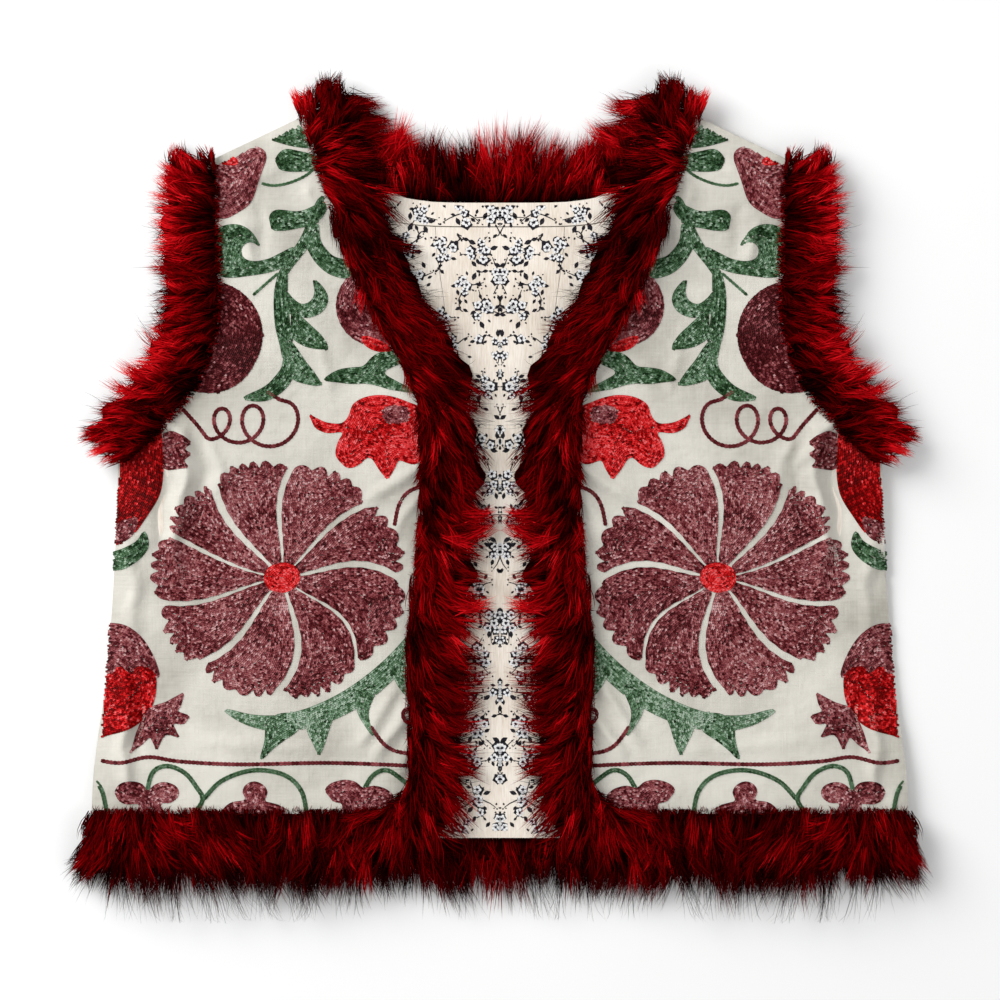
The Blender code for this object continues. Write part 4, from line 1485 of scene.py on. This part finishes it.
def guard_hairs(strip, seed, mirror):
    """Sparse, longer and finer black hairs that stand past the others at the strip's edge. They
    gather in tufts: each stretch of the strip has its own tuft or none, by a scrambled number."""
    rng = np.random.default_rng(seed + 500)
    total = frame_of(strip)[0][-1]
    per_mm, length = strip.guards
    s = rng.uniform(0, total, int(per_mm * total))
    gather = np.sin(np.floor(s / TUFT) * 12.9898) * 43758.5453
    gather = (gather - np.floor(gather)) - 0.5
    s, gather = s[gather > 0.0], gather[gather > 0.0] - 0.25
    count = len(s)
    turn = along_strip(strip, s, total)
    angle = 0.5 * turn.lean + 0.25 * turn.fan + gather * 70 + rng.normal(0, 7, count)
    start = rng.uniform(0.2, 0.8, count) * strip.reach
    roots = rooted(strip, s.astype(int), start, np.radians(angle))
    length = length * turn.length * rng.uniform(0.4, 1.0, count) * (1.0 + 0.8 * gather)
    return thin_hairs(
        strip,
        mirror,
        roots,
        length=short_of_middle(strip, roots[0], roots[1], length),
        bend=rng.normal(0, 3.0, count),
        above=strip.height * (np.array([0.55, 0.75, 0.7, 0.5]) + rng.normal(0, 0.12, (count, 4))),
        width=rng.uniform(0.18, 0.34, count),
        tint=rng.uniform(0.0, 0.12, count),
        roll=rng.normal(0, radians(30), count),
    )


FRINGE_PER_MM = 3
UNDER_PER_MM = 5


def fringe(strip, seed, mirror):
    """Short hairs that lean inwards over the strip's inner edge, so that it is no hard line."""
    rng = np.random.default_rng(seed + 900)
    s = frame_of(strip)[0]
    count = int(FRINGE_PER_MM * s[-1])
    k = rng.integers(0, len(s), count)
    start = strip.inner + rng.uniform(1.0, 6.0, count)
    return thin_hairs(
        strip,
        mirror,
        rooted(strip, k, start, pi + rng.normal(0, radians(42), count)),
        length=rng.uniform(2.5, 5.5, count),
        bend=np.zeros(count),
        above=rng.uniform(0.6, 1.3, (count, 1)) * np.array([2.6, 3.6, 2.6, 0.9]),
        width=rng.uniform(0.40, 0.60, count),
        tint=np.clip(strip.dye + 0.06 + rng.normal(0, 0.10, count), 0.2, 0.9),
        roll=rng.normal(0, radians(26), count),
    )


def under_hairs(strip, seed, mirror):
    """Short dark hairs low at the opening, from which the long ones rise."""
    rng = np.random.default_rng(seed + 700)
    s = frame_of(strip)[0]
    count = int(UNDER_PER_MM * s[-1])
    k = rng.integers(0, len(s), count)
    turn = along_strip(strip, s[k], s[-1])
    start = strip.outer + rng.uniform(-5.0, 1.0, count)
    return thin_hairs(
        strip,
        mirror,
        rooted(strip, k, start, np.radians(0.6 * turn.lean + rng.normal(0, 24, count))),
        length=turn.length * rng.uniform(6.0, 15.0, count),
        bend=np.zeros(count),
        above=rng.uniform(0.5, 3.0, (count, 1)) + np.array([0.0, 1.0, 0.6, -1.0]),
        width=rng.uniform(0.55, 0.85, count),
        tint=rng.uniform(0.02, 0.30, count),
        roll=rng.normal(0, radians(20), count),
    )


PELT_STEP = 6.0
PELT_HEIGHT = 0.42  # as a share of the hair's


def pelt(strip, mirror):
    """The underfur: a low closed body through rings along the strip, each with a flat underside
    and a rounded back, with its height and reach uneven along the way."""
    s, places, _, normals = frame_of(strip)
    rings = max(12, int(s[-1] / PELT_STEP))
    pick = np.linspace(4, len(s) - 5, rings).astype(int)
    share = np.linspace(0, 1, 9)
    ends = np.clip(np.minimum(s[pick], s[-1] - s[pick]) / 12, 0.1, 1) ** 0.6
    uneven = 1 + 0.12 * np.sin(s[pick] / 5.1) + 0.1 * np.sin(s[pick] / 11.7 + 1)
    inner, outer = strip.inner + 3.5, max(strip.outer, strip.pelt * strip.reach)
    across = inner + (outer - inner) * share[None] * (0.4 + 0.6 * ends[:, None]) * uneven[:, None]
    plan = places[pick][:, None] + across[..., None] * normals[pick][:, None]
    base = strip.floor(plan[..., 0], plan[..., 1], across)
    crown = np.sin(pi * np.clip(share, 0.03, 0.97)) ** 0.8
    rise = PELT_HEIGHT * strip.height * crown[None] * (ends * uneven)[:, None]
    top = np.dstack([plan, base + rise])
    low = np.dstack([plan, np.maximum(base - 0.2, 0.1)])[:, ::-1]
    ring = np.concatenate([top, low], axis=1)
    corners = ring.shape[1]
    k = np.arange(rings - 1)[:, None] * corners
    c = np.arange(corners)[None]
    after = (c + 1) % corners
    sides = np.stack([k + c, k + after, k + corners + after, k + corners + c], axis=2)
    fan = np.arange(1, corners - 2, 2)
    cap = np.stack([0 * fan, fan, fan + 1, fan + 2], axis=1)
    faces = np.vstack([sides.reshape(-1, 4), cap[:, ::-1], cap + (rings - 1) * corners])
    points = ring.reshape(-1, 3)
    return (turned_over(points), faces[:, ::-1]) if mirror else (points, faces)


def upright(piece):
    """Recalculates a closed piece's normals so that its faces point outwards."""
    work = bmesh.new()
    work.from_mesh(piece.data)
    bmesh.ops.recalc_face_normals(work, faces=work.faces)
    work.to_mesh(piece.data)
    work.free()
    return piece


def over_front(x, y, a):
    """Where hair on a front starts: just over the cloth, and level with its edge beyond it."""
    return front_top(x, y) + 0.2


def under_back(x, y, a):
    """Where hair under the back starts: between the cloth and the surface."""
    return np.clip(2.0 + 0.15 * np.asarray(a), 0.3, 4.0) + 0 * np.asarray(x)


def run_on(curve, first=0.0, last=0.0):
    """The curve with straight runs of these lengths added at its ends."""
    start = curve[0] + first * (curve[0] - curve[1]) / np.hypot(*(curve[0] - curve[1]))
    end = curve[-1] + last * (curve[-1] - curve[-2]) / np.hypot(*(curve[-1] - curve[-2]))
    return np.vstack([start, curve, end])


front_path = run_on(np.vstack([corner_arc(), edge_curve(FRONT_EDGE)]), 24, 4)
front_path[0, 1] = 0.0
armhole_path = run_on(edge_curve(ARMHOLE_EDGE), 7, 5)
hem_front_path = np.array([(-CORNER_X - 24, 0.0), (-SIDE_X + 1, 0.0)])
hem_back_path = np.array([(-SIDE_X + 2, 0.0), (SIDE_X - 2, 0.0)])

SIDE_STRIPS = [
    Strip(
        name="front", path=front_path, outward=1, inner=-20, outer=10, reach=25, height=13.5,
        floor=over_front, length=30, dye=0.50, tip=0.10, locks=0.86, hairs=41, pinch=0.62,
        guards=(1.6, 20), trim=0.3, pelt=0.70,
        turns=[
            Turn(0.00, -15, 20, 0.95, -0.10),
            Turn(0.07, -40, 60, 1.0, -0.04),
            Turn(0.15, -50, 78, 0.95, -0.02, 0.12),
            Turn(0.24, -46, 86, 0.95, 0.0, 0.18),
            Turn(0.36, -44, 100, 1.0, 0.03, 0.22),
            Turn(0.42, -52, 90, 0.95, -0.04, 0.10),
            Turn(0.445, -40, 96, 1.0, 0.06, 0.50),
            Turn(0.48, -42, 80, 1.0, 0.04, 0.42),
            Turn(0.50, -60, 56, 0.95, -0.04, 0.05),
            Turn(0.54, -60, 46, 0.88, -0.05),
            Turn(0.61, -68, 38, 0.88, -0.06),
            Turn(0.86, -76, 34, 0.95, -0.10, -0.05),
            Turn(0.92, -40, 20, 0.85, 0.0, -0.35),
            Turn(0.96, 56, -14, 0.78, 0.0, -0.60),
            Turn(1.00, 82, -22, 0.62, 0.02, -0.60),
        ],
    ),
    Strip(
        name="hem_front", path=hem_front_path, outward=-1, inner=-20, outer=8, reach=34,
        height=13.5, floor=over_front, length=32, dye=0.44, tip=-0.06, locks=0.85, hairs=45,
        pinch=0.7, guards=(3.2, 46), trim=0.2,
        turns=[
            Turn(0.00, 6, 10, 1.0, -0.10),
            Turn(0.05, 4, 10, 1.0, -0.22),
            Turn(0.11, 4, 10, 0.95),
            Turn(0.32, 2, 10, 0.95),
            Turn(0.36, -10, 0, 0.9, -0.25),
            Turn(0.41, -34, -14, 1.0),
            Turn(0.78, -30, -20, 1.0),
            Turn(0.90, 4, 10, 1.0, 0.06, 0.15),
            Turn(1.00, 44, 26, 0.76, 0.16, 0.35),
        ],
    ),
    Strip(
        name="armhole_front", path=armhole_path, outward=-1, inner=-20, outer=8, reach=27,
        height=13.5, floor=over_front, length=27, dye=0.55, tip=0.34, locks=0.75, hairs=50,
        pinch=0.76, guards=(0.4, 24), trim=0.2,
        turns=[
            Turn(0.00, -66, 20, 0.95, 0.0, 0.30),
            Turn(0.20, -34, 34, 1.05, 0.0, 0.56),
            Turn(0.36, -20, 40, 0.9, 0.0, 0.58),
            Turn(0.75, -14, 36, 0.85, 0.0, 0.58),
            Turn(0.90, 24, 10, 0.85, 0.0, 0.44),
            Turn(1.00, 62, 0, 0.7, 0.0, 0.30),
        ],
    ),
    Strip(
        name="armhole_back", path=armhole_path, outward=-1, inner=-2, outer=9, reach=27, height=9.0,
        floor=under_back, length=22, dye=0.50, tip=0.15, locks=0.75, hairs=19, pinch=0.7,
        guards=(0.4, 22),
        turns=[
            Turn(0.00, -60, 0, 0.8),
            Turn(0.25, -20, 0, 1.0),
            Turn(0.80, -8, 0, 0.9),
            Turn(1.00, 50, 0, 0.7),
        ],
    ),
]
WHOLE_STRIPS = [
    Strip(
        name="neck_back", path=neck_curve(), outward=-1, inner=-2, outer=16, reach=38, height=10.0,
        floor=under_back, length=40, dye=0.50, tip=0.52, locks=0.62, hairs=60, pinch=0.82,
        guards=(0.5, 28),
        turns=[
            Turn(0.00, 20, 0, 0.7),
            Turn(0.30, -14, 0, 0.95, 0.06),
            Turn(0.42, -12, 0, 0.95, -0.14),
            Turn(0.49, -8, 0, 1.0, 0.22),
            Turn(0.51, 8, 0, 1.0, 0.22),
            Turn(0.58, 12, 0, 0.95, -0.14),
            Turn(0.70, 14, 0, 0.95, 0.06),
            Turn(1.00, -20, 0, 0.7),
        ],
    ),
    Strip(
        name="hem_back", path=hem_back_path, outward=1, inner=-2, outer=14, reach=34, height=9.0,
        floor=under_back, length=36, dye=0.37, tip=-0.05, locks=0.8, hairs=25, pinch=0.7,
        guards=(2.0, 44),
        turns=[
            Turn(0.00, -34, 0, 0.8),
            Turn(0.10, 10, 0, 1.0),
            Turn(0.90, -10, 0, 1.0),
            Turn(1.00, 34, 0, 0.8),
        ],
    ),
]


def fur_pieces(strip, seed, mirror, suffix):
    """Hair and underfur of one strip."""
    parts = [hair_piece(strip, seed, mirror), guard_hairs(strip, seed, mirror)]
    if strip.floor is over_front:
        parts.append(fringe(strip, seed, mirror))
    if strip.name == "front":
        parts.append(under_hairs(strip, seed, mirror))
    joined = joined_parts(parts)
    hair = mesh_piece(f"hair_{strip.name}{suffix}", *joined, "red_fur", FUR)
    # The underfur's body is coloured near black: painted shade between the locks.
    body = mesh_piece(f"underfur_{strip.name}{suffix}", *pelt(strip, mirror), None, "red_fur", UNDERFUR_SHADE)
    for made in (hair, upright(body)):
        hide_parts(f"fur_{strip.name}{suffix}")


for number, strip in enumerate(SIDE_STRIPS):
    fur_pieces(strip, 11 + number, False, "_left")
    fur_pieces(strip, 11 + number, True, "_right")
for number, strip in enumerate(WHOLE_STRIPS):
    fur_pieces(strip, 31 + number, False, "")

# ---- stage ---------------------------------------------------------------------------------


def floor_look():
    look = Look("pale_floor", roughness=0.9, specular=0.1)
    tone = look.noise(look.place(), 3.0)
    return look.finish(Base_Color=look.ramp(tone, *greys((0.0, 0.90), (1.0, 0.93))))


def lamp(name, place, size, power):
    """A round lamp that shines on the middle of the vest."""
    data = bpy.data.lights.new(name, "AREA")
    data.shape = "DISK"
    data.size, data.energy = size, power
    made = shown(name, data)
    made.location = place
    made.rotation_mode = "QUATERNION"
    made.rotation_quaternion = (-Vector(place)).to_track_quat("-Z", "Y")


FLOOR_HALF = 4.0
LIGHT_ALL_ROUND = 0.50


def make_stage():
    """A pale floor under the vest and soft light from all round, a little stronger from the
    upper left."""
    mesh = bpy.data.meshes.new("floor")
    corners = [(x * FLOOR_HALF, y * FLOOR_HALF, 0) for x, y in ((-1, -1), (1, -1), (1, 1), (-1, 1))]
    mesh.from_pydata(corners, [], [(0, 1, 2, 3)])
    mesh.materials.append(floor_look())
    shown("floor", mesh)

    world = bpy.data.worlds.new("studio")
    bpy.context.scene.world = world
    world.use_nodes = True
    light = world.node_tree.nodes["Background"].inputs
    light["Color"].default_value = (1, 1, 1, 1)
    light["Strength"].default_value = LIGHT_ALL_ROUND
    lamp("key", (-1.9, 1.4, 1.6), 2.2, 92)
    lamp("fill", (1.5, -0.9, 2.0), 2.0, 10)


SENSOR = 36  # mm
VIEW_MIDDLE = 0.2298  # over the hem, in metres
DISTANCE = 3.2  # of the camera over the surface, in metres
VIEW_WIDTH = 0.68  # of what it shows just over the surface


def make_camera():
    """Straight above, far enough for almost no perspective, with the whole vest in view."""
    data = bpy.data.cameras.new("camera")
    data.sensor_width = SENSOR
    data.lens = SENSOR * (DISTANCE - 0.01) / VIEW_WIDTH
    data.clip_end = 20
    camera = shown("camera", data)
    camera.location = (0, HEM + VIEW_MIDDLE, DISTANCE)
    scene = bpy.context.scene
    scene.camera = camera
    scene.view_settings.view_transform = "Standard"
    scene.view_settings.look = "None"


make_stage()
make_camera()
